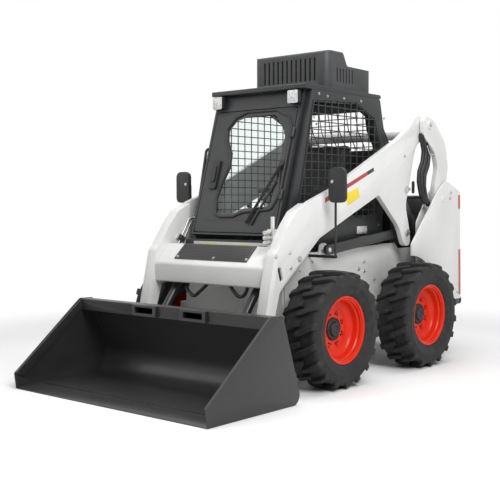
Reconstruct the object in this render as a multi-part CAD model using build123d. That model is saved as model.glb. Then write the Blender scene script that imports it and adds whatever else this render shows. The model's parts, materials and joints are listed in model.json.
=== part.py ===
"""Skid steer loader with a vertical-lift arm, a closed cab and a wide bucket.

Frame while drawing: +X forward, +Y to the operator's left, +Z up, millimetres, with X zero at the middle
of the wheelbase. Each piece is moved along X when it is written, so that the origin of the finished part
lies under the middle of its bounding box. Side outlines are lists of (x, z) or (x, z, corner radius).
"""
import math
import os

from build123d import *

os.makedirs("parts", exist_ok=True)

# Overall driving dimensions
WHEELBASE = 1082.0
TYRE_RADIUS = 386.5
TYRE_WIDTH = 264.0
TYRE_CENTRE_Y = 698.0
BUCKET_HALF_WIDTH = 863.5
BUCKET_NOSE_X = 1919.0
BUMPER_X = -1460.0
ORIGIN_SHIFT = -(BUCKET_NOSE_X + BUMPER_X) / 2

# Pivots of the lift linkage and of the bucket, side view (x, z)
PIN_T = (-1020.0, 1240.0)
PIN_A = (-839.0, 1804.0)
PIN_L = (-595.0, 985.0)
PIN_C = (-590.0, 1309.0)
PIN_D = (-1150.0, 600.0)
PIN_F = (310.0, 890.0)
PIN_B = (1055.0, 215.0)
PIN_G = (785.0, 800.0)
PIN_E = (1100.0, 395.0)

# Lanes across the machine, so that the moving pieces pass each other (left side, inner and outer y)
CAB_Y = 430.0
FRAME_Y = 440.0
FRAME_TOP = 860.0
FRAME_NOSE_X = 738.0
SIDE_PANEL_LANE = (445.0, 453.0)
CONTROL_LINK_LANE = (488.0, 516.0)
LIFT_CYLINDER_Y = 497.0
ARM_LANE = (535.0, 575.0)
ARM_BOX_LANE = (495.0, 575.0)
REAR_LINK_LANE = (582.0, 622.0)
TOWER_OUTER_LANE = (628.0, 644.0)
TOWER_INNER_LANE = (535.0, 547.0)
TILT_CYLINDER_Y = 365.0

# Cylinders
LIFT_BARREL_RADIUS = 31.0
LIFT_ROD_RADIUS = 18.0
LIFT_BARREL_LENGTH = 830.0
LIFT_ROD_LENGTH = 660.0
TILT_BARREL_RADIUS = 28.0
TILT_ROD_RADIUS = 15.0
TILT_BARREL_LENGTH = 410.0
TILT_BORE_START = 46.0
TILT_ROD_LENGTH = 393.0
BORE_CLEARANCE = 0.6
PIN_RADIUS = 16.0
PIN_CLEARANCE = 0.4

# Wheels
LUG_COUNT = 18
LUG_ADVANCE = 46.0
LUG_HALF_WIDTH = 18.0
FACET_TURN = 15.5
RIM_RADIUS = 224.0
RIM_FACE_Y = 112.0
HUB_RADIUS = 75.0

# Cab
CAB_LEAN = math.degrees(math.atan2(300.0, 970.0))
CAB_SILL = (700.0, 980.0)
ROOF_UNDERSIDE = 1985.0
DOOR_HINGE_Y = 376.0
DOOR_HINGE_OUT = 55.0
DOOR_HINGE_RADIUS = 9.0
TAILGATE_HINGE = (-1330.0, -622.0)

WIPER_PIVOT = (334.0, 505.0)
SCREEN_BAR = 7.0
SCREEN_PITCH = (110.0, 100.0)

# Mirrors, the same distance on each side
MIRROR_X = 462.0
MIRROR_Y = 672.0

# Hydraulic lines on the arms
TUBE_RADIUS = 7.0
HOSE_RADIUS = 12.0

SIDES = {"left": 1, "right": -1}


def outline(*corners):
    """Face from corners (u, v) or (u, v, radius); each radius becomes a tangent arc."""
    ends, edges = [], []
    count = len(corners)
    for i, corner in enumerate(corners):
        here = Vector(corner[0], corner[1])
        radius = corner[2] if len(corner) > 2 else 0.0
        if not radius:
            ends.append((here, here))
            continue
        before = (Vector(*corners[i - 1][:2]) - here).normalized()
        after = (Vector(*corners[(i + 1) % count][:2]) - here).normalized()
        half = math.radians(before.get_angle(after)) / 2
        reach = radius / math.tan(half)
        start, stop = here + before * reach, here + after * reach
        middle = here + (before + after).normalized() * (radius / math.sin(half) - radius)
        edges.append(Edge.make_three_point_arc(start, middle, stop))
        ends.append((start, stop))
    for i in range(count):
        leave, arrive = ends[i][1], ends[(i + 1) % count][0]
        if (arrive - leave).length < 1e-6:
            continue
        ahead = Vector(*corners[(i + 1) % count][:2]) - Vector(*corners[i][:2])
        if (arrive - leave).dot(ahead) < 0:
            raise ValueError(f"arcs overlap after corner {corners[i]}")
        edges.append(Edge.make_line(leave, arrive))
    return Face(Wire(edges))


def disc(centre, radius):
    """Flat disc in the drawing plane."""
    return Pos(centre[0], centre[1]) * Face(Wire.make_circle(radius))


def slab(face, lane):
    """Side-view face (x, z) made into a plate between two values of y."""
    low, high = min(lane), max(lane)
    return extrude(Plane.XZ.offset(-low) * face, amount=high - low, dir=(0, 1, 0))


def rib(face, x_low, x_high):
    """Front-view face (y, z) made into a plate between two values of x."""
    return extrude(Plane.YZ.offset(x_low) * face, amount=x_high - x_low, dir=(1, 0, 0))


def deck(face, z_low, z_high):
    """Plan-view face (x, y) made into a plate between two values of z."""
    return extrude(Plane.XY.offset(z_low) * face, amount=z_high - z_low, dir=(0, 0, 1))


def block(x, y, z):
    """Box between pairs of limits."""
    size = (x[1] - x[0], y[1] - y[0], z[1] - z[0])
    return Pos(sum(x) / 2, sum(y) / 2, sum(z) / 2) * Box(*size)


def rod(start, end, radius):
    """Round bar between two points in space."""
    start, end = Vector(*start), Vector(*end)
    return Solid.make_cylinder(radius, (end - start).length, Plane(origin=start, z_dir=end - start))


def cross_pin(centre, lane, radius):
    """Round bar along y, through a side-view point."""
    return rod((centre[0], lane[0], centre[1]), (centre[0], lane[1], centre[1]), radius)


def grid(face, columns, rows):
    """Copies of a face at every crossing of two lists of offsets."""
    return [Pos(u, v) * face for u in columns for v in rows]


def to_side(shape, side):
    """The left-hand shape itself, or its mirror image for the right-hand side."""
    return shape if SIDES[side] > 0 else mirror(shape, about=Plane.XZ)


def direction(start, end):
    """Unit vector of the side view, with the distance between the points."""
    span = math.hypot(end[0] - start[0], end[1] - start[1])
    return ((end[0] - start[0]) / span, (end[1] - start[1]) / span), span


def along(start, heading, distance):
    """Side-view point at a distance from the start."""
    return (start[0] + heading[0] * distance, start[1] + heading[1] * distance)


def save(name, *shapes):
    """Write one node, with its solids, in the part's own frame."""
    solids = [solid for shape in shapes for solid in shape.solids()]
    piece = solids[0] if len(solids) == 1 else Compound(children=solids)
    export_step(Pos(ORIGIN_SHIFT, 0, 0) * piece, f"parts/{name}.step")


def save_pair(name, shape):
    """Write the left-hand shape and its mirror image as one node."""
    save(name, shape, mirror(shape, about=Plane.XZ))


def pipe(radius, bend, *points):
    """Round tube along straight runs joined by tangent arcs."""
    path = FilletPolyline(*points, radius=bend)
    section = Plane(origin=path @ 0, z_dir=path % 0) * Circle(radius)
    return sweep(section, path=path)


def lattice(opening, pitch):
    """Flat bars that divide an opening into cells of about one size."""
    box = opening.bounding_box()
    columns = [box.min.X + pitch[0] * (k + 0.5) for k in range(math.ceil(box.size.X / pitch[0]))]
    rows = [box.min.Y + pitch[1] * (k + 0.5) for k in range(math.ceil(box.size.Y / pitch[1]))]
    bar_free = Rectangle(pitch[0] - SCREEN_BAR, pitch[1] - SCREEN_BAR)
    cells = [cell & opening for cell in grid(bar_free, columns, rows)]
    return [cell for cell in cells if cell.area > 0.15 * bar_free.area]


def prismatoid(*sections):
    """Flat-faced solid through sections with equal numbers of corners, given as 3-D points."""
    faces = [Face(Wire.make_polygon(sections[0])), Face(Wire.make_polygon(sections[-1]))]
    for lower, upper in zip(sections, sections[1:]):
        for i in range(len(lower)):
            j = (i + 1) % len(lower)
            faces.append(Face(Wire.make_polygon([lower[i], lower[j], upper[j], upper[i]])))
    return Solid(Shell(faces))


def facet_ring(stations, count, turn):
    """Flat-sided ring about y through (y, radius) stations, with an edge at that turn in degrees."""
    rings = []
    for y, radius in stations:
        corner = radius / math.cos(math.pi / count)
        turns = [2 * math.pi * k / count + math.radians(turn) for k in range(count)]
        rings.append([Vector(corner * math.cos(a), y, corner * math.sin(a)) for a in turns])
    faces = []
    for lower, upper in zip(rings, rings[1:] + rings[:1]):
        for k in range(count):
            m = (k + 1) % count
            faces.append(Face(Wire.make_polygon([lower[k], lower[m], upper[m], upper[k]])))
    return Solid(Shell(faces))


def tyre_lug(angle, hand):
    """One bar of the tread: from the middle of the tread out over the shoulder and down the sidewall."""
    half = TYRE_WIDTH / 2
    base = TYRE_RADIUS - 40.0
    # Stations across the tread: y, fall of the outer face, depth of the root, advance round the tyre, half width
    stations = [(-12.0, 0.0, 0.0, 0.0, 15.0), (half - 30.0, 0.0, 0.0, LUG_ADVANCE, LUG_HALF_WIDTH),
                (half, 58.0, 34.0, LUG_ADVANCE + 14.0, LUG_HALF_WIDTH)]
    sections = []
    for y, fall, depth, advance, wide in stations:
        outer = math.sqrt(TYRE_RADIUS ** 2 - (advance + wide) ** 2) - fall
        inner = base - depth
        corners = [(inner, advance - wide), (outer, advance - wide), (outer, advance + wide),
                   (inner, advance + wide)]
        sections.append([Vector(r, hand * y, hand * s) for r, s in corners])
    return Rot(0, angle, 0) * prismatoid(*sections)


def tyre():
    """Tyre about y: a flat-sided carcass with one facet to each pair of lugs, and the lugs."""
    half = TYRE_WIDTH / 2
    tread, bead = TYRE_RADIUS - 30.0, RIM_RADIUS + 0.5
    half_section = [(half - 22.0, tread), (half - 2.0, tread - 46.0), (half - 20.0, bead)]
    stations = half_section + [(-y, radius) for y, radius in reversed(half_section)]
    carcass = facet_ring(stations, LUG_COUNT, FACET_TURN)
    pitch = 360.0 / LUG_COUNT
    lowest = 90.0 + math.degrees(math.asin((LUG_ADVANCE + LUG_HALF_WIDTH) / TYRE_RADIUS))
    lugs = [tyre_lug(lowest + pitch * (k + (0.5 if hand < 0 else 0.0)), hand) for k in range(LUG_COUNT)
            for hand in (1, -1)]
    return carcass.fuse(*lugs)


def rim():
    """Dished wheel about y, its outer side at +y: rolled edges, a well and a recessed bolting disc."""
    disc_y = 10.0
    profile = outline((RIM_FACE_Y, RIM_RADIUS), (RIM_FACE_Y - 12, RIM_RADIUS), (RIM_FACE_Y - 16, RIM_RADIUS - 26),
                      (-RIM_FACE_Y + 16, RIM_RADIUS - 26), (-RIM_FACE_Y + 12, RIM_RADIUS),
                      (-RIM_FACE_Y, RIM_RADIUS), (-RIM_FACE_Y + 8, RIM_RADIUS - 36), (disc_y - 14, RIM_RADIUS - 36),
                      (disc_y - 14, 40), (disc_y, 40), (disc_y, 150), (disc_y + 20, RIM_RADIUS - 40),
                      (RIM_FACE_Y - 42, RIM_RADIUS - 36), (RIM_FACE_Y - 30, RIM_RADIUS - 20),
                      (RIM_FACE_Y - 8, RIM_RADIUS - 16))
    cap = outline((disc_y - 14, 0), (disc_y - 14, 40), (disc_y, 40), (disc_y, HUB_RADIUS), (26, HUB_RADIUS),
                  (32, 45), (62, 38), (62, 0))
    return Rot(0, 0, 90) * (revolve(profile, Axis.X) + revolve(cap, Axis.X))


def wheels():
    """Four tyres on their rims, with the lugs of the right-hand pair mirrored."""
    tyre_shape, rim_shape = tyre(), rim()
    for end, x in (("front", WHEELBASE / 2), ("rear", -WHEELBASE / 2)):
        for side, sign in SIDES.items():
            place = Pos(x, sign * TYRE_CENTRE_Y, TYRE_RADIUS)
            save(f"tyre_{end}_{side}", place * to_side(tyre_shape, side))
            save(f"rim_{end}_{side}", place * to_side(rim_shape, side))


def main_frame():
    """Welded tub: floor, side walls, front and rear walls, with a chain case along each side."""
    side = outline((-1300, 440), (-1180, 230, 30), (640, 230, 60), (FRAME_NOSE_X, 380, 40),
                   (FRAME_NOSE_X, FRAME_TOP), (-1300, FRAME_TOP))
    wall = slab(side, (FRAME_Y - 10, FRAME_Y))
    tub = wall + mirror(wall, about=Plane.XZ)
    tub += block((-1180, 640), (-FRAME_Y, FRAME_Y), (230, 240))
    tub += block((FRAME_NOSE_X - 10, FRAME_NOSE_X), (-FRAME_Y, FRAME_Y), (360, FRAME_TOP))
    tub += block((-1300, -1290), (-FRAME_Y, FRAME_Y), (440, FRAME_TOP))
    label_panel = outline((FRAME_NOSE_X - 10, FRAME_TOP), (759, FRAME_TOP), (759, 945), (753, 945),
                          (753, FRAME_TOP + 6), (FRAME_NOSE_X - 10, FRAME_TOP + 6))
    tub += slab(label_panel, (-344, 344))
    case = slab(outline((-800, 260, 30), (720, 260, 30), (720, 505, 20), (-800, 505, 20)), (FRAME_Y, 520))
    tub += case + mirror(case, about=Plane.XZ)
    save("main_frame", tub)


def axles():
    """Four axle tubes, each from the chain case to the wheel's bolting disc."""
    stubs = []
    for x in (WHEELBASE / 2, -WHEELBASE / 2):
        for sign in SIDES.values():
            stub = cross_pin((x, TYRE_RADIUS), (520, 620), 62) + cross_pin((x, TYRE_RADIUS), (620, 690), 40)
            stubs.append(stub if sign > 0 else mirror(stub, about=Plane.XZ))
    save("axle_tubes", *stubs)


def towers():
    """Upright at the rear corner: outer plate with the wheel arch, inner plate and a rear wall."""
    arch = disc((-WHEELBASE / 2, TYRE_RADIUS), 430)
    outer = outline((-562, 780), (-562, 899, 20), (-720, 1064, 60), (-960, 1308, 40), (-1070, 1380, 50),
                    (-1200, 1334, 60), (-1291, 1295, 20), (-1315, 439, 15), (-940, 439)) - arch
    inner = outline((-790, 780), (-790, 1060, 40), (-960, 1280, 60), (-1060, 1345, 40), (-1291, 1280, 20),
                    (-1315, 439, 15), (-940, 439)) - arch
    shape = slab(outer, TOWER_OUTER_LANE) + slab(inner, TOWER_INNER_LANE)
    rear = outline((-1291, 1290), (-1315, 439), (-1300, 439), (-1276, 1290))
    shape += slab(rear, (TOWER_INNER_LANE[0], TOWER_OUTER_LANE[1]))
    shape += block((-1300, -960), (FRAME_Y, TOWER_OUTER_LANE[1]), (439, 451))
    shape += cross_pin(PIN_T, (TOWER_INNER_LANE[0], REAR_LINK_LANE[0] - 3), 55)
    shape += cross_pin(PIN_T, (REAR_LINK_LANE[0] - 3, TOWER_OUTER_LANE[1] + 6), PIN_RADIUS + 8)
    shape += cross_pin(PIN_D, (FRAME_Y, TOWER_INNER_LANE[0]), PIN_RADIUS)
    save_pair("towers", shape)


def side_panels():
    """Upright sheet between the wheels, with a ledge folded in towards the cab, and the link's bracket."""
    panel = outline((-700, 505), (720, 505), (735, 830, 30), (640, 880), (200, 872), (-500, 905), (-620, 905),
                    (-700, 840))
    shape = slab(panel, SIDE_PANEL_LANE)
    shape += slab(outline((-600, 897), (-600, 905), (-500, 905), (200, 872), (640, 880), (640, 872), (200, 864),
                          (-500, 897)), (FRAME_Y - 8, SIDE_PANEL_LANE[0]))
    bracket = outline((PIN_F[0] - 60, 840), (PIN_F[0] + 60, 840), (PIN_F[0] + 45, PIN_F[1] + 45, 40),
                      (PIN_F[0] - 45, PIN_F[1] + 45, 40))
    shape += slab(bracket, (SIDE_PANEL_LANE[1], SIDE_PANEL_LANE[1] + 10))
    shape += cross_pin(PIN_F, (SIDE_PANEL_LANE[1], CONTROL_LINK_LANE[1] + 4), PIN_RADIUS)
    save_pair("side_panels", shape)


def rear_body():
    """Engine as one plain block, the hood over it and the bumper with its tie-down loops."""
    save("engine_block", block((-1180, -620), (-300, 300), (300, 980)))
    hood = block((-1290, -600), (-CAB_Y, CAB_Y), (895, 1240)) - block((-1285, -605), (5 - CAB_Y, CAB_Y - 5),
                                                                   (890, 1234))
    slots = [Pos(-1170 + 62 * k, 0) * outline((0, -250, 8), (24, -250, 8), (24, 250, 8), (0, 250, 8))
             for k in range(7)]
    for slot in slots:
        hood -= deck(slot, 1200, 1300)
    save("engine_hood", hood)
    loop = slab(outline((-1300, 385), (-1300, 438), (-1400, 438, 20), (BUMPER_X, 434, 20), (BUMPER_X, 380, 24),
                        (-1400, 380, 20)) - disc((-1430, 408), 16), (560, 576))
    bar = block((-1318, -1300), (-600, 600), (400, 438))
    save("rear_bumper", bar + loop + mirror(loop, about=Plane.XZ))


def tailgate():
    """Rear door with a louvred grille, hinged at the machine's right."""
    plan = outline((-1322, -612), (-1322, 612), (-1392, 600, 30), (-1392, -600, 30))
    shell = deck(plan, 470, 1270) - block((-1384, -1300), (-600, 600), (478, 1262))
    for k in range(9):
        z = 640 + 60 * k
        shell -= rib(outline((-420, z, 10), (420, z, 10), (420, z + 26, 10), (-420, z + 26, 10)), -1400, -1370)
    for z in (600, 1060):
        shell += rod((*TAILGATE_HINGE, z), (*TAILGATE_HINGE, z + 80), 8)
        shell += block((TAILGATE_HINGE[0] - 6, TAILGATE_HINGE[0] + 6), (TAILGATE_HINGE[1], -608), (z, z + 80))
    save("tailgate", shell)


def control_links():
    """Long bar from the side frame to the heel of the lift arm."""
    heading, span = direction(PIN_F, PIN_L)
    bar = outline((span + 34, -34, 33), (span + 34, 34, 33), (-40, 34, 33), (-40, -34, 33))
    turned = Pos(*PIN_F) * Rot(0, 0, math.degrees(math.atan2(heading[1], heading[0]))) * bar
    shape = slab(turned - disc(PIN_F, PIN_RADIUS + PIN_CLEARANCE), CONTROL_LINK_LANE)
    save_pair("control_links", shape)


def rear_links():
    """Curved link from the tower's top pivot to the rear end of the lift arm."""
    face = outline((-760, 1885, 50), (-915, 1840, 80), (-1085, 1680, 120), (-1135, 1500, 160), (-1104, 1340, 100),
                   (-1105, 1158, 70), (-938, 1158, 70), (-930, 1340, 100), (-975, 1480, 100), (-930, 1600, 120),
                   (-765, 1710, 50))
    shape = slab(face - disc(PIN_T, PIN_RADIUS + 8 + PIN_CLEARANCE), REAR_LINK_LANE)
    shape += cross_pin(PIN_A, (ARM_LANE[0] - 10, REAR_LINK_LANE[0]), PIN_RADIUS + 8)
    shape += cross_pin(PIN_A, (REAR_LINK_LANE[1], REAR_LINK_LANE[1] + 10), 30)
    save_pair("rear_links", shape)


def lift_arm(side):
    """Arm side: wide rear plate with a heel lobe, tapering to the box that drops in front of the wheel."""
    face = outline((1107, 163, 50), (1068, 511), (979, 889, 60), (945, 919, 60), (845, 1064, 120), (758, 1158, 80),
                   (608, 1225, 150), (366, 1306), (-464, 1682, 200), (-634, 1780, 200), (-723, 1870, 90),
                   (-920, 1870, 75), (-905, 1735, 60), (-726, 1646, 120), (-678, 1522, 200), (-640, 1380, 200),
                   (-578, 1193, 150), (-640, 990, 120), (-650, 880, 42), (-560, 890, 60), (-486, 1034, 200),
                   (-211, 1267, 25), (504, 979), (861, 703, 60), (929, 645, 60), (972, 508), (1003, 163, 50))
    plate = face - disc(PIN_A, PIN_RADIUS + 8 + PIN_CLEARANCE)
    shape = slab(plate - disc(PIN_B, PIN_RADIUS + PIN_CLEARANCE), ARM_LANE)
    slot = Pos(923, 760) * Rot(0, 0, -17) * SlotOverall(96, 34, rotation=90)
    shape -= slab(slot.faces()[0], (ARM_LANE[1] - 14, ARM_LANE[1]))
    front = face & outline((640, 100), (1200, 100), (1200, 1300), (640, 1300))
    shape += slab(front - disc(PIN_B, PIN_RADIUS + PIN_CLEARANCE), (ARM_BOX_LANE[0], ARM_LANE[0]))
    save(f"lift_arm_{side}", to_side(shape, side))


def arm_cross_pieces():
    """Sloped channel between the arms at the front, its tread plate, and the tube between them at the rear."""
    half = ARM_BOX_LANE[0]
    channel = outline((965, 669), (990, 669, 12), (998, 800, 30), (856, 930), (848, 922), (984, 796, 22),
                      (980, 679, 6), (965, 679))
    beam = slab(channel, (-half, half))
    for sign in SIDES.values():
        for offset in (-38, 30):
            y = sign * TILT_CYLINDER_Y + offset
            ear = outline((877, 903), (PIN_G[0] - 10, PIN_G[1] + 50, 20), (PIN_G[0] - 34, PIN_G[1] - 34, 33),
                          (PIN_G[0] + 45, PIN_G[1] - 34, 33), (937, 848))
            beam += slab(ear, (y, y + 8))
    save("arm_cross_member", beam)
    heading, span = direction((998, 800), (856, 930))
    start, end = along((998, 800), heading, 42), along((998, 800), heading, span - 4)
    lift = (heading[1] * 6, -heading[0] * 6)
    plate = outline(start, end, (end[0] + lift[0], end[1] + lift[1]), (start[0] + lift[0], start[1] + lift[1]))
    save("step_plate", slab(plate, (-330, 330)))
    tube = cross_pin((-775, 1738), (-ARM_LANE[0], ARM_LANE[0]), 42)
    save("arm_cross_tube", tube)


def arm_hydraulics():
    """Coupler block and steel tubes inside the arms, and the hose looped under the cross member."""
    inner = ARM_BOX_LANE[0]
    manifold = block((845, 905), (452, inner), (934, 1045)) + rod((875, 473, 1040), (875, 473, 1125), 14)
    for z in (958, 990, 1022):
        manifold += rod((900, 473, z), (962, 473, z), 13)
    low, high = -inner + 9, -inner + 9
    tubes = pipe(TUBE_RADIUS, 40, (832, low, 825), (662, low, 1098), (560, low, 1112))
    tubes += pipe(TUBE_RADIUS, 40, (810, high, 805), (640, high, 1076), (560, high, 1090))
    tubes += slab(outline((700, 960), (730, 925), (790, 960), (760, 995)), (-inner, -inner + 18))
    tubes += block((552, 584), (-ARM_LANE[0], -inner + 18), (1076, 1126))
    reach = TILT_CYLINDER_Y - 60
    hose = pipe(HOSE_RADIUS, 45, (916.1, reach - 30, 858.8), (848, reach - 30, 785.4), (940, reach, 640),
                (950, reach - 40, 578), (950, 195, 640), (935, 130, 700), (935, -10, 700), (950, -70, 640),
                (950, -160, 574), (940, -240, 620), (848, -262, 785.4), (916.1, -262, 858.8))
    save("arm_hydraulics", manifold, tubes, hose)


def lift_cylinders():
    """Barrel on the tower's foot and rod to the ear of the lift arm."""
    heading, span = direction(PIN_D, PIN_C)
    y = LIFT_CYLINDER_Y
    tail = along(PIN_D, heading, 35)
    mouth = along(PIN_D, heading, LIFT_BARREL_LENGTH)
    barrel = rod((tail[0], y, tail[1]), (mouth[0], y, mouth[1]), LIFT_BARREL_RADIUS)
    barrel += cross_pin(PIN_D, (y - 31, y + 31), 38)
    inner_end = along(PIN_D, heading, span - LIFT_ROD_LENGTH)
    barrel -= rod((inner_end[0], y, inner_end[1]), (mouth[0], y, mouth[1]), LIFT_ROD_RADIUS + BORE_CLEARANCE)
    barrel -= cross_pin(PIN_D, (y - 40, y + 40), PIN_RADIUS + PIN_CLEARANCE)
    save_pair("lift_barrels", barrel)
    shaft = rod((inner_end[0], y, inner_end[1]), (PIN_C[0], y, PIN_C[1]), LIFT_ROD_RADIUS)
    shaft += cross_pin(PIN_C, (y - 28, y + 28), 36)
    save_pair("lift_rods", shaft)


def tilt_cylinders():
    """Barrel under the arms' cross member and rod to the bucket's carrier."""
    heading, span = direction(PIN_G, PIN_E)
    y = TILT_CYLINDER_Y
    tail = along(PIN_G, heading, 30)
    mouth = along(PIN_G, heading, TILT_BARREL_LENGTH)
    inner_end = along(PIN_G, heading, span - TILT_ROD_LENGTH)
    barrel = rod((tail[0], y, tail[1]), (mouth[0], y, mouth[1]), TILT_BARREL_RADIUS)
    barrel += cross_pin(PIN_G, (y - 28, y + 28), 34)
    bore = along(PIN_G, heading, TILT_BORE_START)
    barrel -= rod((bore[0], y, bore[1]), (mouth[0], y, mouth[1]), TILT_ROD_RADIUS + BORE_CLEARANCE)
    save_pair("tilt_barrels", barrel)
    shaft = rod((inner_end[0], y, inner_end[1]), (PIN_E[0], y, PIN_E[1]), TILT_ROD_RADIUS)
    shaft += cross_pin(PIN_E, (y - 25, y + 25), 32)
    save_pair("tilt_rods", shaft)


def bucket():
    """Bucket shell with its sides and cutting edge, and the carrier that the arms hold."""
    half = BUCKET_HALF_WIDTH
    shell = outline((1756, 2), (1079, 2, 160), (1262, 547, 8), (1367, 551), (1367, 543), (1268, 539, 4),
                    (1091, 10, 152), (1756, 10))
    body = slab(shell, (8.5 - half, half - 8.5))
    side = outline((1890, 2), (1075, 2, 60), (1258, 551, 6), (1367, 555), (1400, 530, 20), (BUCKET_NOSE_X, 104, 10),
                   (1905, 2))
    cheek = slab(side, (half - 8.5, half))
    edge_bar = slab(outline((1372, 545), (1340, 500), (1850, 76), (BUCKET_NOSE_X, 104, 10)), (half - 22, half))
    band = outline((1367, 551), (1360, 474), (1236, 474), (1242, 482), (1352, 482), (1358, 543))
    body += slab(band, (8.5 - half, half - 8.5))
    for y in (-195, 245):
        step = block((1354, 1386), (y - 111, y + 111), (478, 550))
        body += step
        body -= rib(outline((y - 83, 496, 8), (y + 83, 496, 8), (y + 83, 535, 8), (y - 83, 535, 8)), 1340, 1390)
    body += cheek + mirror(cheek, about=Plane.XZ) + edge_bar + mirror(edge_bar, about=Plane.XZ)
    save("bucket_shell", body)
    edge = slab(outline((1909, 0), (1756, 0), (1756, 15), (1880, 15), (1909, 5)), (8.5 - half, half - 8.5))
    save("cutting_edge", edge)
    lean, _ = direction((1079, 2), (1262, 547))
    low, high = along((1079, 2), lean, 230), along((1079, 2), lean, 540)
    normal = (-lean[1], lean[0])
    gap, thick = 0.5, 14
    near = [along(p, normal, gap) for p in (low, high)]
    far = [along(p, normal, thick) for p in (high, low)]
    plate = slab(outline(*near, *far), (-600, 600))
    plate -= block((1000, 1400), (-200, 200), (290, 440))
    for sign in SIDES.values():
        plate -= block((1000, 1400), (sign * TILT_CYLINDER_Y - 28, sign * TILT_CYLINDER_Y + 28), (290, 600))
    for sign in SIDES.values():
        ears = []
        for lane in ((ARM_BOX_LANE[0] - 20, ARM_BOX_LANE[0] - 7), (ARM_LANE[1] + 7, ARM_LANE[1] + 20)):
            ear = outline((PIN_B[0] - 45, PIN_B[1] - 45, 44), (1150, 140, 20), far[1], far[0], (1150, 420, 40),
                          (PIN_B[0] - 45, PIN_B[1] + 45, 44))
            ears.append(slab(ear, lane))
        ears.append(cross_pin(PIN_B, (ARM_BOX_LANE[0] - 26, ARM_LANE[1] + 26), PIN_RADIUS))
        for offset in (-40, 30):
            ear = outline((PIN_E[0] - 36, PIN_E[1] - 34, 34), far[1], far[0], (PIN_E[0] - 36, PIN_E[1] + 36, 34))
            ears.append(slab(ear, (TILT_CYLINDER_Y + offset, TILT_CYLINDER_Y + offset + 10)))
        for ear in ears:
            plate += ear if sign > 0 else mirror(ear, about=Plane.XZ)
    save("quick_attach", plate - body)


FRONT = Plane(origin=(CAB_SILL[0], 0, CAB_SILL[1]), x_dir=(0, 1, 0),
              z_dir=(math.cos(math.radians(CAB_LEAN)), 0, math.sin(math.radians(CAB_LEAN))))


def front_panel(face, low, high):
    """Face (across, up the slope) made into a plate on the cab's leaning front plane."""
    return extrude(FRONT.offset(low) * face, amount=high - low, dir=FRONT.z_dir)


def cab():
    """Cab shell: two sides with framed windows, roof, back, sill and front surround."""
    side_face = outline((700, 955), (CAB_SILL[0] - 8, 985), (400, 1985), (-445, 1985, 30), (-497, 1771, 40),
                        (-582, 1655, 40), (-560, 1245), (-500, 1240), (-480, 910), (700, 910))
    window = outline((560, 1120, 30), (371, 1905, 20), (-123, 1922, 20), (-360, 1822, 30), (-430, 1620, 30),
                     (-430, 1330, 30), (-380, 1120, 30))
    for side in SIDES:
        wall = slab(side_face - window, (CAB_Y - 40, CAB_Y))
        wall = to_side(wall, side)
        if side == "right":
            wall += pipe(10, 25, (490, -CAB_Y, 1607), (500, -CAB_Y - 30, 1607), (578, -CAB_Y - 30, 1242),
                         (578, -CAB_Y, 1205))
        save(f"cab_side_{side}", wall)
    screen = outline((572, 1105, 30), (380, 1918, 20), (-128, 1936, 20), (-372, 1832, 30), (-444, 1624, 30),
                     (-444, 1326, 30), (-392, 1105, 30))
    opening = offset(window, -8)
    side_screen = slab(screen - lattice(opening, SCREEN_PITCH), (CAB_Y, CAB_Y + 4))
    bend = outline((-549, 1350), (-562, 1640), (-471, 1760), (-436, 1900), (-429, 1900), (-464, 1757),
                   (-555, 1637), (-542, 1350))
    rear_screen = slab(bend, (-300, -294)) + slab(bend, (294, 300))
    for k in range(1, 7):
        rear_screen += slab(bend, (-300 + 86 * k - 4, -300 + 86 * k + 4))
    bars = ((-545, 1353), (-550, 1440), (-554, 1530), (-558, 1620), (-512, 1698), (-462, 1785), (-439, 1860),
            (-433, 1897))
    for x, z in bars:
        rear_screen += block((x - 3, x + 3), (-300, 300), (z - 3, z + 3))
    save("side_screens", side_screen, mirror(side_screen, about=Plane.XZ), rear_screen)
    roof = slab(outline((474, 1985, 8), (474, 2020, 8), (-453, 2014, 20), (-462, 1985, 10)), (-CAB_Y, CAB_Y))
    save("cab_roof", roof)
    inner = CAB_Y - 40
    back = slab(outline((-445, 1985), (-497, 1771), (-582, 1655), (-560, 1245), (-500, 1240), (-480, 910),
                        (-440, 910), (-460, 1280), (-522, 1285), (-542, 1640), (-459, 1752), (-405, 1985)),
                (-inner, inner))
    back -= block((-700, -300), (-300, 300), (1350, 1900))
    save("cab_back", back)
    floor = block((-440, 690), (-inner, inner), (910, 930))
    for y in (-250, 250):
        floor += rod((240, y, 925), (262, y, 1180), 9) + Pos(264, y, 1195) * Sphere(23)
    save("cab_floor", floor)
    rise = (ROOF_UNDERSIDE - 14 - CAB_SILL[1]) / math.cos(math.radians(CAB_LEAN))
    surround = outline((-inner, 0), (inner, 0), (inner, rise), (-inner, rise))
    opening = outline((-372, 14, 10), (372, 14, 10), (372, 918, 20), (-372, 918, 20))
    save("cab_front", front_panel(surround - opening, 3, 43))
    save("cab_sill", block((700, 752), (-CAB_Y, CAB_Y), (905, 960)))


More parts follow.
